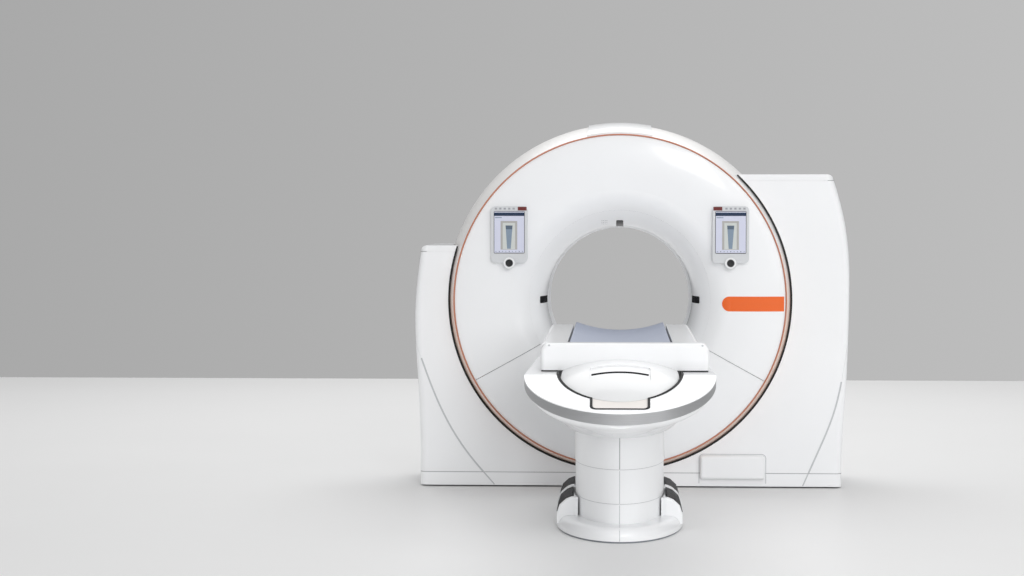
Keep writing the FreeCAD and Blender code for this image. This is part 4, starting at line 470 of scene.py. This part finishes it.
def in_order(pairs, order):
    """Places and normals of edge points in the order that a key gives, more than 1 mm apart."""
    line, outward = [], []
    for place, normal in sorted(pairs, key=lambda pair: order(pair[0])):
        if not line or (place - line[-1]).length > 1 * MM:
            line.append(place)
            outward.append(normal)
    return line, outward


def seam(name, pairs, order, material=seam_grey, width=3 * MM, closed=False):
    """A seam strip through edge points of a cabinet."""
    line, outward = in_order(pairs, order)
    strip(name, line, outward, width, material, closed=closed)
    length = sum((b - a).length for a, b in zip(line, line[1:]))
    print(name, "has", len(line), "points and is", round(length, 2), "m long")


iso_height = (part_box("bore_tunnel")[0].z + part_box("bore_tunnel")[1].z) / 2
isocentre = Vector((0, 0, iso_height))
front_y, rear_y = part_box("front_surround")[0].y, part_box("rear_surround")[1].y
print("isocentre at", round(iso_height, 3), "m")

# %% [markdown]
# ## Cabinet seams
# The front has a curved seam on each side.  The caps and the plinth meet the covers in
# level seams that run round the corners, so their points are put in order by their
# direction from the middle of the cabinet.

# %% Cabinet seams
SEAM_TOP = 0.95  # the curved seam ends at this height
CLEAR_OF_OPENING = 0.985  # nearer to the isocentre a cap's edge lies in the opening
SKIN_DEPTH = 40 * MM  # the plinth's outer faces lie no deeper than this
mid_y = (front_y + rear_y) / 2


def away_from(middle, place, normal):
    """Whether a face looks away from a middle, seen from above."""
    return (place.x - middle.x) * normal.x + (place.y - middle.y) * normal.y > 0


def front_seams(side, sign):
    """The curved seam of one side, and its straight end that runs down over the plinth."""
    curved = edge_points("front_surround",
                         lambda m, n: n.x * sign > 0.3 and abs(n.y) < 0.05 and abs(m.x) > 0.6,
                         lambda m, n: n.y < -0.99 and m.y < front_y + 1 * MM)
    curved = sorted((pair for pair in curved if pair[0].z < SEAM_TOP), key=lambda pair: pair[0].z)
    seam("front_seam_" + side, curved, lambda p: p.z, seam_pale, 9 * MM)
    foot = curved[0][0]
    above = next(place for place, normal in curved if place.z > foot.z + 20 * MM)
    slope = (foot.x - above.x) / (foot.z - above.z)
    line = [Vector((foot.x + slope * (z - foot.z), front_y, z)) for z in (12 * MM, 40 * MM, foot.z)]
    strip("front_seam_foot_" + side, line, FORWARD, 7 * MM, seam_pale)


def cap_seam(side, sign):
    """The level seam under one cap."""
    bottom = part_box(side + "_cap")[0].z
    middle = Vector((sign * 1.0, mid_y, 0))
    level = edge_points(side + "_cap", lambda m, n: n.z < -0.99 and m.z < bottom + 1 * MM,
                        lambda m, n: abs(n.z) < 0.5 and away_from(middle, m, n))
    level = [pair for pair in level if (pair[0] - isocentre).length > CLEAR_OF_OPENING]
    seam("cap_seam_" + side, level,
         lambda p: math.atan2(sign * (p.y - middle.y), -sign * (p.x - middle.x)))


for side, sign in SIDES:
    front_seams(side, sign)
    cap_seam(side, sign)

ring = edge_points(
    "plinth", lambda m, n: n.z > 0.99,
    lambda m, n: abs(n.z) < 0.3 and away_from(Vector(), m, n)
    and (m.y < front_y + SKIN_DEPTH or m.y > rear_y - SKIN_DEPTH or abs(m.x) > 1.0))
seam("plinth_seam", ring, lambda p: math.atan2(p.y - mid_y, p.x), closed=True)

# %% [markdown]
# ## Running gaps and their painted shade
# The drum tilts in a round opening with 8 mm of air round it.  From outside that gap is a
# black line of shade, painted as a black strip.  The strip lies on the front and the
# rear of the cabinets and touches only them.  It runs from the top of the right cap, down
# and round, to the top of the left one.

# %% Painted shade round the drum
opening = min((v.co - isocentre).length for v in nodes["front_surround"].data.vertices)


def opening_gap_shade(name, plane, inward):
    """The black strip of painted shade in the opening's gap, on the front or the rear of the cabinets."""
    radius = math.sqrt(opening ** 2 - plane ** 2)
    middle = radius + 1.5 * MM
    start = math.asin((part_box("right_cap")[1].z - 4 * MM - iso_height) / radius)
    stop = -math.pi - math.asin((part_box("left_cap")[1].z - 4 * MM - iso_height) / radius)
    line, count = [], 120
    for i in range(count + 1):
        turn = start + (stop - start) * i / count
        line.append(Vector((middle * math.cos(turn), plane, iso_height + middle * math.sin(turn))))
    strip(name, line, FORWARD * inward, 8 * MM, gap_shade_black, "gantry", 0.5 * MM, 3 * MM)


opening_gap_shade("drum_gap_shade_front", front_y, 1)
opening_gap_shade("drum_gap_shade_rear", rear_y, -1)
print("opening", round(opening, 4), "m")

# %% [markdown]
# A ray that is cast on a piece finds a point on its surface and the direction that the
# surface looks there.  That puts thin seams on curved covers without knowing their shape.

# %% Seams cast on curved covers
def cast(node, start, direction):
    """Where a ray from a start point meets a piece, and the surface's normal there."""
    found, spot, normal, face = nodes[node].ray_cast(Vector(start), Vector(direction).normalized())
    return (spot, normal) if found else None


def cast_seam(name, node, rays, body, material):
    """A seam strip through the points where a row of rays meets a piece."""
    hits = [hit for hit in (cast(node, *ray) for ray in rays) if hit]
    line, out = [hit[0] for hit in hits], [hit[1] for hit in hits]
    print(name, "follows", len(line), "points")
    strip(name, line, out, 3 * MM, material, body, proud=0.15 * MM)


def wiper_ring(name, node, body):
    """The wiper ring, 3 mm tall, under the lower edge of a sleeve; its pale grey also paints the shade
    under the sleeve's step.
    """
    drop, tall, inset, deep = 1 * MM, 3 * MM, 0.4 * MM, 2.2 * MM
    low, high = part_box(node)
    middle = Vector((0, (low.y + high.y) / 2, 0))
    pairs = edge_points(node, lambda m, n: n.z < -0.99 and m.z < low.z + 1 * MM,
                        lambda m, n: abs(n.z) < 0.3 and away_from(middle, m, n))
    line, out = in_order(pairs, lambda p: math.atan2(p.y - middle.y, p.x))
    line = [place + Vector((0, 0, -drop)) for place in line]
    out = [Vector((normal.x, normal.y, 0)).normalized() for normal in out]
    strip(name, line, out, tall, seam_pale, body, -inset, inset + deep, closed=True)


wiper_ring("upper_wiper", "upper_sleeve", "upper_column")
wiper_ring("middle_wiper", "middle_sleeve", "middle_column")
SLEEVES = (("lower_sleeve", "gantry", seam_pale), ("middle_sleeve", "middle_column", seam_pale),
           ("upper_sleeve", "upper_column", seam_grey))
levels = [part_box(name)[0].z for name, body, material in SLEEVES] + [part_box("upper_sleeve")[1].z]
for (name, body, material), bottom, top in zip(SLEEVES, levels, levels[1:]):
    bottom, top = bottom + 1 * MM, top - 6 * MM
    rays = [((0, -4, bottom + (top - bottom) * i / 4), (0, 1, 0)) for i in range(5)]
    cast_seam("centre_seam_" + name, name, rays, body, material)
base_low, base_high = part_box("base_cover")
column_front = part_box("lower_sleeve")[0].y
tall, deep = base_high.z - base_low.z - 4 * MM, column_front - base_low.y - 30 * MM
rays = [((0, -4, base_low.z + 2 * MM + tall * i / 14), (0, 1, 0)) for i in range(15)]
rays += [((0, base_low.y + 25 * MM + deep * i / 6, 1), (0, 0, -1)) for i in range(7)]
cast_seam("centre_seam_base", "base_cover", rays, "gantry", seam_pale)

# %% [markdown]
# ## Painted shade round the chin
# The end cover's chin lies in a pocket of the carrier with 7 mm of air round it; a black strip
# along the pocket's edge paints the shade in that gap.  Its line is the sharp edge between the
# carrier's top and the pocket's wall.  Black boxes also paint the shade under the end cover's face.

# %% Edge of the chin's pocket
end_low, end_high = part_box("end_cover")
carrier_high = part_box("deck")[0].z - 6 * MM
face_front = cast("end_cover", (end_high.x - 60 * MM, -4, carrier_high + 40 * MM), (0, 1, 0))[0].y
POCKET_HALF, POCKET_REAR, POCKET_FLOOR = 0.29, -2.5, 0.6  # the pocket's walls lie inside these
POCKET_MIDDLE = Vector((0, -2.75, 0))


def pocket_edge():
    """Points along the pocket's upper edge, 6 mm apart, with the way into the pocket at each."""
    pairs = edge_points("carrier_cover", lambda m, n: n.z > 0.5,
                        lambda m, n: abs(n.z) < 0.35 and abs(m.x) < POCKET_HALF and m.y < POCKET_REAR
                        and m.z > POCKET_FLOOR and away_from(POCKET_MIDDLE, m, -n))
    upper = []
    for point, normal in pairs:
        inward = Vector((normal.x, normal.y, 0)).normalized()
        beside = point - inward * 4 * MM
        hit = cast("carrier_cover", (beside.x, beside.y, 2), (0, 0, -1))
        if hit and abs(hit[0].z - point.z) < 10 * MM and point.y < face_front:
            upper.append((point, inward))
    for sign in (-1, 1):
        widest = max(upper, key=lambda pair: sign * pair[0].x)
        end = Vector((widest[0].x, face_front + 6 * MM, widest[0].z))
        upper.append((end, Vector((-sign, 0, 0))))
    upper.sort(key=lambda pair: math.atan2(pair[0].x, POCKET_MIDDLE.y - pair[0].y))
    line = []
    for (start, way), (stop, next_way) in zip(upper, upper[1:]):
        steps = max(1, round((stop - start).length / (6 * MM)))
        line += [(start.lerp(stop, i / steps), way.lerp(next_way, i / steps).normalized())
                 for i in range(steps)]
    return line + [upper[-1]]


print("end cover's face at", round(face_front, 3), "m")

# %% [markdown]
# The black strip of painted shade follows the whole edge.  On each side of the chin a wide
# flat black patch paints the shade of the pocket's side wall; it starts at the end cover's
# face and comes closer to the strip as it goes.

# %% Strip and patches of painted shade round the chin
# A pad below is one of the flat black side patches of painted shade.
SIDE_SHADE_LENGTH = 240 * MM
SIDE_SHADE_INSET, SIDE_SHADE_EXTRA = 7 * MM, 9 * MM  # from the edge at a pad's end, and more at its start


def chin_gap_shade():
    """A raised black strip that paints the shade in the gap, and a wide black patch of painted shade over
    each end of the chin's side.
    """
    edge = pocket_edge()
    print("chin seal has", len(edge), "points")
    strip("chin_gap_shade", [p + way * 3.4 * MM for p, way in edge], UP, 11 * MM, gap_shade_black,
          "carrier", 4 * MM, 5 * MM)
    for side, order in (("left", 1), ("right", -1)):
        line, out = [], []
        for place, way in edge[::order]:
            share = (face_front - place.y) / SIDE_SHADE_LENGTH
            centre = place + way * (SIDE_SHADE_INSET + SIDE_SHADE_EXTRA * (1 - share))
            if share > 1:
                break
            hit = cast("end_cover", (centre.x, centre.y, 2), (0, 0, -1))
            if hit and place.y < face_front - 3 * MM:
                line.append(hit[0])
                out.append(hit[1])
        strip("chin_side_shade_" + side, line, out, 15 * MM, gap_shade_black, "carrier",
              1.5 * MM, 1 * MM)


def face_gap_shade(side, x0, x1):
    """A black box of painted shade in the gap under one side of the end cover's face, plain and closed."""
    y0, y1 = face_front + 5 * MM, face_front + 12 * MM
    z0, z1 = carrier_high + 0.2 * MM, carrier_high + 5.8 * MM
    points = [Vector((x, y, z)) for x in (x0, x1) for y in (y0, y1) for z in (z0, z1)]
    faces = [(0, 1, 3, 2), (4, 6, 7, 5), (0, 4, 5, 1), (2, 3, 7, 6), (0, 2, 6, 4), (1, 5, 7, 3)]
    new_piece("face_gap_shade_" + side, points, faces, gap_shade_black, "carrier")


chin_gap_shade()
face_gap_shade("left", end_low.x + 4 * MM, -276 * MM)
face_gap_shade("right", 276 * MM, end_high.x - 4 * MM)

# %% [markdown]
# The chin has a grip recess with a slot across it.  The shade inside the slot is painted as
# a black strip on its far wall.  The slot is found by casting rays down along the middle:
# where the surface drops away, the slot begins.

# %% Slot of the chin
CHIN_LENGTH = 360  # millimetres searched, one ray each
SLOT_DROP = 18 * MM  # the surface falls by more than this in the slot
SLOT_REACH = 40  # and is back up this many millimetres away


def chin_height(x, y):
    """Height of the end cover at a place, or 0 beside it."""
    hit = cast("end_cover", (x, y, 2), (0, 0, -1))
    return hit[0].z if hit else 0


def find_slot():
    """The far edge of the slot, and its two ends."""
    nose = face_front - CHIN_LENGTH * MM
    heights = [chin_height(0, nose + step * MM) for step in range(CHIN_LENGTH)]
    last = CHIN_LENGTH - 1
    deep = [step for step in range(1, CHIN_LENGTH)
            if heights[step] < heights[max(step - SLOT_REACH, 0)] - SLOT_DROP
            and heights[step] < heights[min(step + SLOT_REACH, last)] - SLOT_DROP]
    far = nose + (max(deep) + 1) * MM
    inside = [x * MM for x in range(-200, 201)
              if chin_height(x * MM, far - 6 * MM) < chin_height(x * MM, far + 4 * MM) - SLOT_DROP]
    return far, min(inside), max(inside)


slot_far, slot_low, slot_high = find_slot()
line = []
for i in range(13):
    x = slot_low + 1 * MM + (slot_high - slot_low - 2 * MM) * i / 12
    line.append(Vector((x, slot_far - 1 * MM, chin_height(x, slot_far + 2 * MM) - 15 * MM)))
# A black strip on the far wall paints the shade inside the slot.
strip("slot_painted_shade", line, FORWARD, 28 * MM, gap_shade_black, "carrier", 2 * MM)
print("slot from", round(slot_low, 3), "to", round(slot_high, 3), "m at", round(slot_far, 3), "m")

# %% [markdown]
# ## Foot of the column
# The guards of the pedals are joined to the column's foot by a filler piece on each side,
# which keeps 1.5 mm clear of the sliding sleeves.  Between the two pedals of a side the
# guard has a raised rib.

# %% Fillers and ribs
guard_low, guard_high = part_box("pedal_guards")
sleeve_low, sleeve_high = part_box("upper_sleeve")
FILLER_END = 215 * MM  # behind the guard's front end


def sleeve_half_at(y):
    """Half width of the widest sleeve at a place along the table, from its own mesh."""
    return cast("upper_sleeve", (2, y, (sleeve_low.z + sleeve_high.z) / 2), (-1, 0, 0))[0].x


def make_filler(side, sign):
    """The filler that joins one guard to the column's foot."""
    start, stop = guard_low.y + 4 * MM, guard_low.y + FILLER_END
    wall = sleeve_high.x + 2 * MM
    plan = []
    for i in range(15):
        y = start + (stop - start) * i / 14
        plan.append((min(sleeve_half_at(y) + 1.5 * MM, wall - 0.2 * MM), y))
    plan += [(wall, stop), (wall, start)]
    low, high = base_high.z - 4 * MM, guard_high.z - 2 * MM
    count = len(plan)
    points = [Vector((sign * x, y, z)) for z in (low, high) for x, y in plan]
    faces = [tuple(reversed(range(count))), tuple(range(count, 2 * count))]
    faces += [(i, (i + 1) % count, count + (i + 1) % count, count + i) for i in range(count)]
    if sign < 0:
        faces = [tuple(reversed(face)) for face in faces]
    new_piece("guard_filler_" + side, points, faces, materials["cover_white"])


def make_rib(side, sign):
    """A raised rib over the guard between its two pedals."""
    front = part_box(side + "_front_pedal")[1].y + 2 * MM
    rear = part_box(side + "_rear_pedal")[0].y - 2 * MM
    middle = (front + rear) / 2
    line, out = [], []
    for i in range(13):
        turn = math.radians(-10 + 95 * i / 12)    # from just under level to nearly straight up
        across, up = math.cos(turn), math.sin(turn)
        start = (sign * (sleeve_high.x + 0.3 * across), middle, 80 * MM + 0.3 * up)
        hit = cast("pedal_guards", start, (-sign * across, 0, -up))
        if hit:
            line.append(hit[0])
            out.append(Vector((hit[1].x, 0, hit[1].z)).normalized())
    strip("guard_rib_" + side, line, out, rear - front, materials["cover_white"],
          proud=6 * MM, sunk=1 * MM)


for side, sign in SIDES:
    make_filler(side, sign)
    make_rib(side, sign)
print("fillers and ribs placed")

# %% [markdown]
# ## Recess round the access cover
# The box cover low on the right lies in a shallow recess, which shows as a fine line round
# it that runs down over the plinth.

# %% Line round the access cover
def access_line():
    """The line 5 mm outside the cover, up, over and down again."""
    low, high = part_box("access_cover")
    x0, x1, top, corner = low.x - 5 * MM, high.x + 5 * MM, high.z + 5 * MM, 22 * MM
    foot, bend = 24 * MM, 75 * MM
    line = [Vector((x0, front_y, foot)), Vector((x0, front_y, bend))]
    for centre_x, start in ((x0 + corner, 180), (x1 - corner, 90)):
        for i in range(7):
            turn = math.radians(start - 15 * i)
            line.append(Vector((centre_x + corner * math.cos(turn), front_y,
                                top - corner + corner * math.sin(turn))))
    line += [Vector((x1, front_y, bend)), Vector((x1, front_y, foot))]
    strip("access_line", line, FORWARD, 4 * MM, seam_pale)


access_line()
print("access cover framed")

# %% [markdown]
# ## Screw caps and the microphone
# Two small round caps hide the screws of the end cover.  Beside the top laser window a
# group of small holes lets the patient's voice through.

# %% Small round caps and holes
HOLE_SPACE = 9  # millimetres


def dot(name, node, start, radius, material, body, high=PROUD):
    """A thin disc where a ray straight back from a start point meets a piece."""
    spot, normal = cast(node, start, (0, 1, 0))
    across = normal.cross(UP).normalized()
    up = across.cross(normal)
    points = []
    for level in (high, -SUNK):
        points += [spot + normal * level + across * x + up * z for x, z in disc(0, 0, radius)]
    new_piece(name, points, prism(0, len(points) // 2), material, body)


for side, x in (("left", end_low.x + 38 * MM), ("right", end_high.x - 30 * MM)):
    dot("screw_cap_" + side, "end_cover", (x, -4, end_high.z - 9 * MM), 5 * MM, seam_pale,
        "carrier")
for row in range(3):
    for column in range(4):
        x, z = (-70 - HOLE_SPACE * column) * MM, (432 - HOLE_SPACE * row) * MM
        place = Vector((x, -2, iso_height + z))
        node = "bore_mouth_ring" if cast("bore_mouth_ring", place, (0, 1, 0)) else "front_cover_upper"
        dot("microphone_%d_%d" % (row, column), node, place, 2.5 * MM, seam_grey,
            "drum", 0.2 * MM)
print("caps and holes placed")

# %% [markdown]
# ## The mat
# The mat is a foam pad in a coated cover.  It is built as a skin of rounded cross-sections
# along the table, with rolled long edges and drawn-in ends.  The board's hollow is an arc,
# and the pad lies on it.

# %% Cross-section of the mat
mat_low, mat_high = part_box("mat")
mat_half = (mat_high.x - mat_low.x) / 2
edge_heights = [v.co.z for v in nodes["mat"].data.vertices if v.co.x > mat_high.x - 1 * MM]
mat_thick = max(edge_heights) - min(edge_heights)
mat_dip = mat_high.z - mat_low.z - mat_thick
mat_roll = mat_thick / 2
CROWN = 1.5 * MM


def hollow(x):
    """Height of the hollow's arc above its lowest point."""
    radius = (mat_half * mat_half + mat_dip * mat_dip) / (2 * mat_dip)
    return radius - math.sqrt(max(radius * radius - x * x, 0))


def mat_section(shrink):
    """Points round the mat's cross-section, drawn in by a length at the pad's ends."""
    thick = mat_thick - min(2 * shrink, 0.7 * mat_thick)
    floor = mat_low.z + 0.4 * MM + (mat_thick - thick) * 0.25
    across, roll = mat_half - shrink, thick / 2
    flat, steps = across - roll, 24
    turns = [math.pi * i / 8 for i in range(1, 8)]
    edge = floor + hollow(flat) + roll
    under = [flat * (2 * i / steps - 1) for i in range(steps + 1)]
    points = [(x, floor + hollow(x)) for x in under]
    points += [(flat + roll * math.sin(turn), edge - roll * math.cos(turn)) for turn in turns]
    points += [(-x, floor + hollow(x) + thick - CROWN * (x / across) ** 2) for x in under]
    points += [(-flat - roll * math.sin(turn), edge + roll * math.cos(turn)) for turn in turns]
    return points


print("mat", round(mat_half * 2, 3), "m wide,", round(mat_thick * 1000, 1), "mm thick")

# %% Sweep the sections along the table
def make_mat():
    """The pad, as rings of points at stations along the table."""
    length = mat_high.y - mat_low.y
    stations = []
    for share in (0.0, 0.15, 0.4, 0.7, 1.0):
        turn = share * math.pi / 2
        stations.append((mat_roll * (1 - math.cos(turn)), mat_roll * (1 - math.sin(turn))))
    inner = 40
    for i in range(1, inner):
        stations.append((mat_roll + (length - 2 * mat_roll) * i / inner, 0.0))
    stations += [(length - along, shrink) for along, shrink in reversed(stations[:5])]
    points, faces = [], []
    for along, shrink in stations:
        points += [Vector((x, mat_low.y + along, z)) for x, z in mat_section(shrink)]
    around = len(mat_section(0.0))
    for row in range(len(stations) - 1):
        for i in range(around):
            a, b = row * around, (row + 1) * around
            faces.append((a + i, b + i, b + (i + 1) % around, a + (i + 1) % around))
    faces.append(tuple(range(around)))
    faces.append(tuple(reversed(range(len(points) - around, len(points)))))
    pad = new_piece("mat_pad", points, faces, materials["mat_blue"], "tabletop", smooth=True)
    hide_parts("mat")


make_mat()
print("mat swept")

# %% [markdown]
# ## Touch screens
# Each panel has a touch screen that shows a bar, a picture field with a tapered shape, and
# a row of round buttons.  The shapes are flat plates, a fifth of a millimetre above each
# other, so they never flicker against the glass.  Sizes are shares of the screen.

# %% Screen pictures
LAYER = 0.2 * MM


def plate(points, faces, outline, y, finish):
    """Add a thin plate with a given outline (x, z) to a mesh that is being made."""
    start, count = len(points), len(outline)
    points += [Vector((x, y, z)) for x, z in outline] + [Vector((x, y + LAYER, z)) for x, z in outline]
    faces += [(face, finish) for face in prism(start, count)]


def rectangle(x0, z0, x1, z1):
    """Corners of a rectangle, the lower left one first."""
    return [(x0, z0), (x1, z0), (x1, z1), (x0, z1)]


def screen_box(sign):
    """Corners of one of the two screens."""
    found = [v.co for v in nodes["touch_screens"].data.vertices if v.co.x * sign > 0]
    xs, zs = [p.x for p in found], [p.z for p in found]
    return min(xs), min(zs), max(xs), max(zs)


screen_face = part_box("touch_screens")[0].y
SCREEN_FINISHES = [screen_pale, screen_navy, screen_field, screen_blue, screen_light, screen_deep]
PALE, NAVY, FIELD, BLUE, LIGHT, DEEP = range(6)
# The flat shapes of the picture: layer, finish, and corners as shares across and down.
SCREEN_SHAPES = [
    (1, PALE, rectangle(0.015, 0.985, 0.985, 0.012)),
    (2, NAVY, rectangle(0.01, 0.115, 0.99, 0.035)),
    (2, BLUE, rectangle(0.04, 0.165, 0.26, 0.145)),
    (2, FIELD, rectangle(0.22, 0.91, 0.76, 0.235)),
    (3, LIGHT, rectangle(0.29, 0.90, 0.69, 0.28)),
    (4, BLUE, ((0.43, 0.89), (0.55, 0.89), (0.60, 0.43), (0.39, 0.43))),
    (4, DEEP, ((0.39, 0.43), (0.60, 0.43), (0.61, 0.34), (0.38, 0.34)))]


def make_screen_picture(side, sign):
    """The picture of one screen: the flat shapes, and a row of nine buttons under them."""
    x0, z0, x1, z1 = screen_box(sign)

    def spot(across, down):
        return x0 + across * (x1 - x0), z1 - down * (z1 - z0)

    points, faces = [], []
    for layer, finish, corners in SCREEN_SHAPES:
        plate(points, faces, [spot(*corner) for corner in corners], screen_face - layer * LAYER, finish)
    for i in range(9):
        x, z = spot(0.07 + 0.86 * i / 8, 0.955)
        plate(points, faces, disc(x, z, 2.6 * MM), screen_face - 3 * LAYER, DEEP if i % 3 == 1 else BLUE)
    new_piece("screen_picture_" + side, points, faces, SCREEN_FINISHES, "drum")


print("screen face at", round(screen_face, 4), "m")

# %% [markdown]
# Each panel also has a printed row above its screen, and a white ring round its knob.

# %% Print and knob rings
def make_legend(side, sign):
    """The printed row above the screen: a dark red block at the inner end and grey marks."""
    low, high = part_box(side + "_panel")
    face = screen_face + 0.7 * MM - LAYER / 2
    points, faces = [], []
    bottom, top = screen_box(sign)[3] + 3 * MM, high.z - 3 * MM
    inner = (high.x if sign < 0 else low.x) + sign * 4 * MM
    ends = sorted((inner, inner + sign * 48 * MM))
    plate(points, faces, rectangle(ends[0], bottom, ends[1], top), face, 0)
    for i in range(5):
        x = inner + sign * (70 + 24 * i) * MM
        plate(points, faces, rectangle(x - 6 * MM, bottom + 5 * MM, x + 6 * MM, top - 5 * MM), face, 1)
    new_piece("panel_legend_" + side, points, faces, [legend_red, legend_grey], "drum")


def make_knob_ring(side):
    """The white ring that the panel's black push knob sits in."""
    low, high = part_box(side + "_knob")
    middle = (low + high) / 2
    points, faces = [], []
    inner, outer, count = (high.x - low.x) / 2 + 1.5 * MM, 30 * MM, 32
    panel_front = cast(side + "_panel", (middle.x + outer - 2 * MM, -2, middle.z), (0, 1, 0))[0].y
    face = panel_front - 0.5 * MM
    for y in (face, face + 1.5 * MM):
        for radius in (inner, outer):
            points += [Vector((x, y, z)) for x, z in disc(middle.x, middle.z, radius, count)]
    for i in range(count):
        j = (i + 1) % count
        a, b, c, d = [count * k for k in range(4)]
        faces += [(a + i, a + j, b + j, b + i), (c + i, d + i, d + j, c + j),
                  (a + i, c + i, c + j, a + j), (b + i, b + j, d + j, d + i)]
    new_piece("knob_ring_" + side, points, faces, cap_white, "drum")


for side, sign in SIDES:
    make_screen_picture(side, sign)
    make_legend(side, sign)
    make_knob_ring(side)
print("screens, print and knob rings placed")

# %% [markdown]
# ## Floor, lights and camera
# The floor is a pale, slightly glossy resin floor.  It ends where the photograph shows the
# foot of the wall, and the wall itself is the world's colour, seen only by the camera, so
# that no backdrop stands in the way of the other views.

# %% Floor
def make_floor():
    wall_foot, reach = 7.0, 40.0
    points = [(x, y, 0) for x, y in rectangle(-reach, -reach, reach, wall_foot)]
    mesh = bpy.data.meshes.new("floor")
    mesh.from_pydata(points, [], [(0, 1, 2, 3)])
    mesh.materials.append(mottled("pale_resin_floor", "#E9E9E9", "#E6E6E6", 0.8, 3.0, {
        "Roughness": 0.5, "IOR": 1.45, "Specular IOR Level": 0.15}))
    floor = placed("floor", mesh)


make_floor()
print("floor laid")

# %% [markdown]
# The world has three faces.  The camera sees the wall's grey.  Matt surfaces are lit by an
# even white.  Gloss and metal mirror a white that fades to the sides and the rear.

# %% World and wall colour
WORLD_LIGHT = 0.60
MIRROR_LIGHT = 0.6
WHITE = (1.0, 1.0, 1.0, 1.0)


def make_world():
    world = bpy.data.worlds.new("studio")
    bpy.context.scene.world = world
    world.use_nodes = True
    tree = world.node_tree
    tree.nodes.clear()
    generated = add(tree, "TexCoord").outputs["Generated"]
    right, rear = add(tree, "SeparateXYZ", {0: generated}).outputs[:2]
    # The wall's grey is lighter to the right: painted light on the backdrop.
    across = add(tree, "MapRange", {0: right, 1: -0.28, 2: 0.20})
    wall = add(tree, "Mix", {0: across, 6: linear("#A9A9A9"), 7: linear("#BEBEBE")}, data_type="RGBA")
    seen = add(tree, "Background", {"Color": wall.outputs[2], "Strength": 1.0})
    lit = add(tree, "Background", {"Color": WHITE, "Strength": WORLD_LIGHT})
    aside = add(tree, "Math", {0: right}, operation="ABSOLUTE")
    behind = add(tree, "Math", {0: rear, 1: 0.0}, operation="MAXIMUM")
    away = add(tree, "Math", {0: behind, 1: 0.8, 2: aside}, operation="MULTIPLY_ADD")
    fade = add(tree, "MapRange", {0: away, 1: 0.0, 2: 0.9, 3: MIRROR_LIGHT, 4: 0.08 * MIRROR_LIGHT})
    mirrored = add(tree, "Background", {"Color": WHITE, "Strength": fade})
    ray = add(tree, "LightPath")
    lights = add(tree, "MixShader", {0: ray.outputs["Is Glossy Ray"], 1: lit, 2: mirrored})
    mix = add(tree, "MixShader", {0: ray.outputs["Is Camera Ray"], 1: lights, 2: seen})
    add(tree, "OutputWorld", {"Surface": mix})


make_world()
print("world ready")

# %% [markdown]
# Much of the light comes from all round, as in a white studio.  Two soft keys from the
# right model the shapes.  Two smaller lamps near the camera, one low and one high, throw
# the table's shadow to the left on the drum; the low one leaves no highlight.  A wide lamp
# over the rear keeps the floor even as far as the wall.

# %% Lamps
def make_lamp(name, place, target, size, power, mirrored=True):
    """A square lamp aimed at a target; one that isn't mirrored leaves no highlight."""
    lamp = bpy.data.lights.new(name, "AREA")
    lamp.shape = "SQUARE"
    lamp.size = size
    lamp.energy = power
    holder = placed(name, lamp)
    holder.location = place
    holder.visible_glossy = mirrored
    aim = Vector(target) - Vector(place)
    holder.rotation_euler = aim.to_track_quat("-Z", "Y").to_euler()


make_lamp("key_low", (7.0, -10.0, 3.2), (0, -1.0, 0.9), 3.5, 60)
make_lamp("key_high", (5.0, -8.0, 6.0), (0, -1.0, 0.9), 3.0, 70)
make_lamp("front_low", (1.7, -13.0, 2.0), (0, -1.0, 0.7), 1.6, 265, mirrored=False)
make_lamp("front_high", (2.5, -11.0, 5.5), (0, -1.0, 0.7), 2.5, 165)
make_lamp("overhead", (0.0, 4.0, 8.0), (0, 1.0, 0), 8.0, 450)
print("lamps set")

# %% [markdown]
# The camera was worked out from the photograph: where the table's long edges run together,
# how large the two ends of the bore look, and where the gantry's corners are.

# %% Camera
camera_data = bpy.data.cameras.new("camera")
camera_data.lens = 78.1
camera_data.sensor_width = 36.0
camera = placed("camera", camera_data)
camera.location = (-0.012, -12.355, 1.564)
camera.rotation_euler = (math.radians(90 - 2.266), 0.0, math.radians(2.719))
bpy.context.scene.camera = camera
bpy.context.scene.view_settings.view_transform = "Standard"
print("camera", round(camera_data.lens, 1), "mm")

# %% [markdown]
# ## Finish

# %% Finish
print("scene finished")
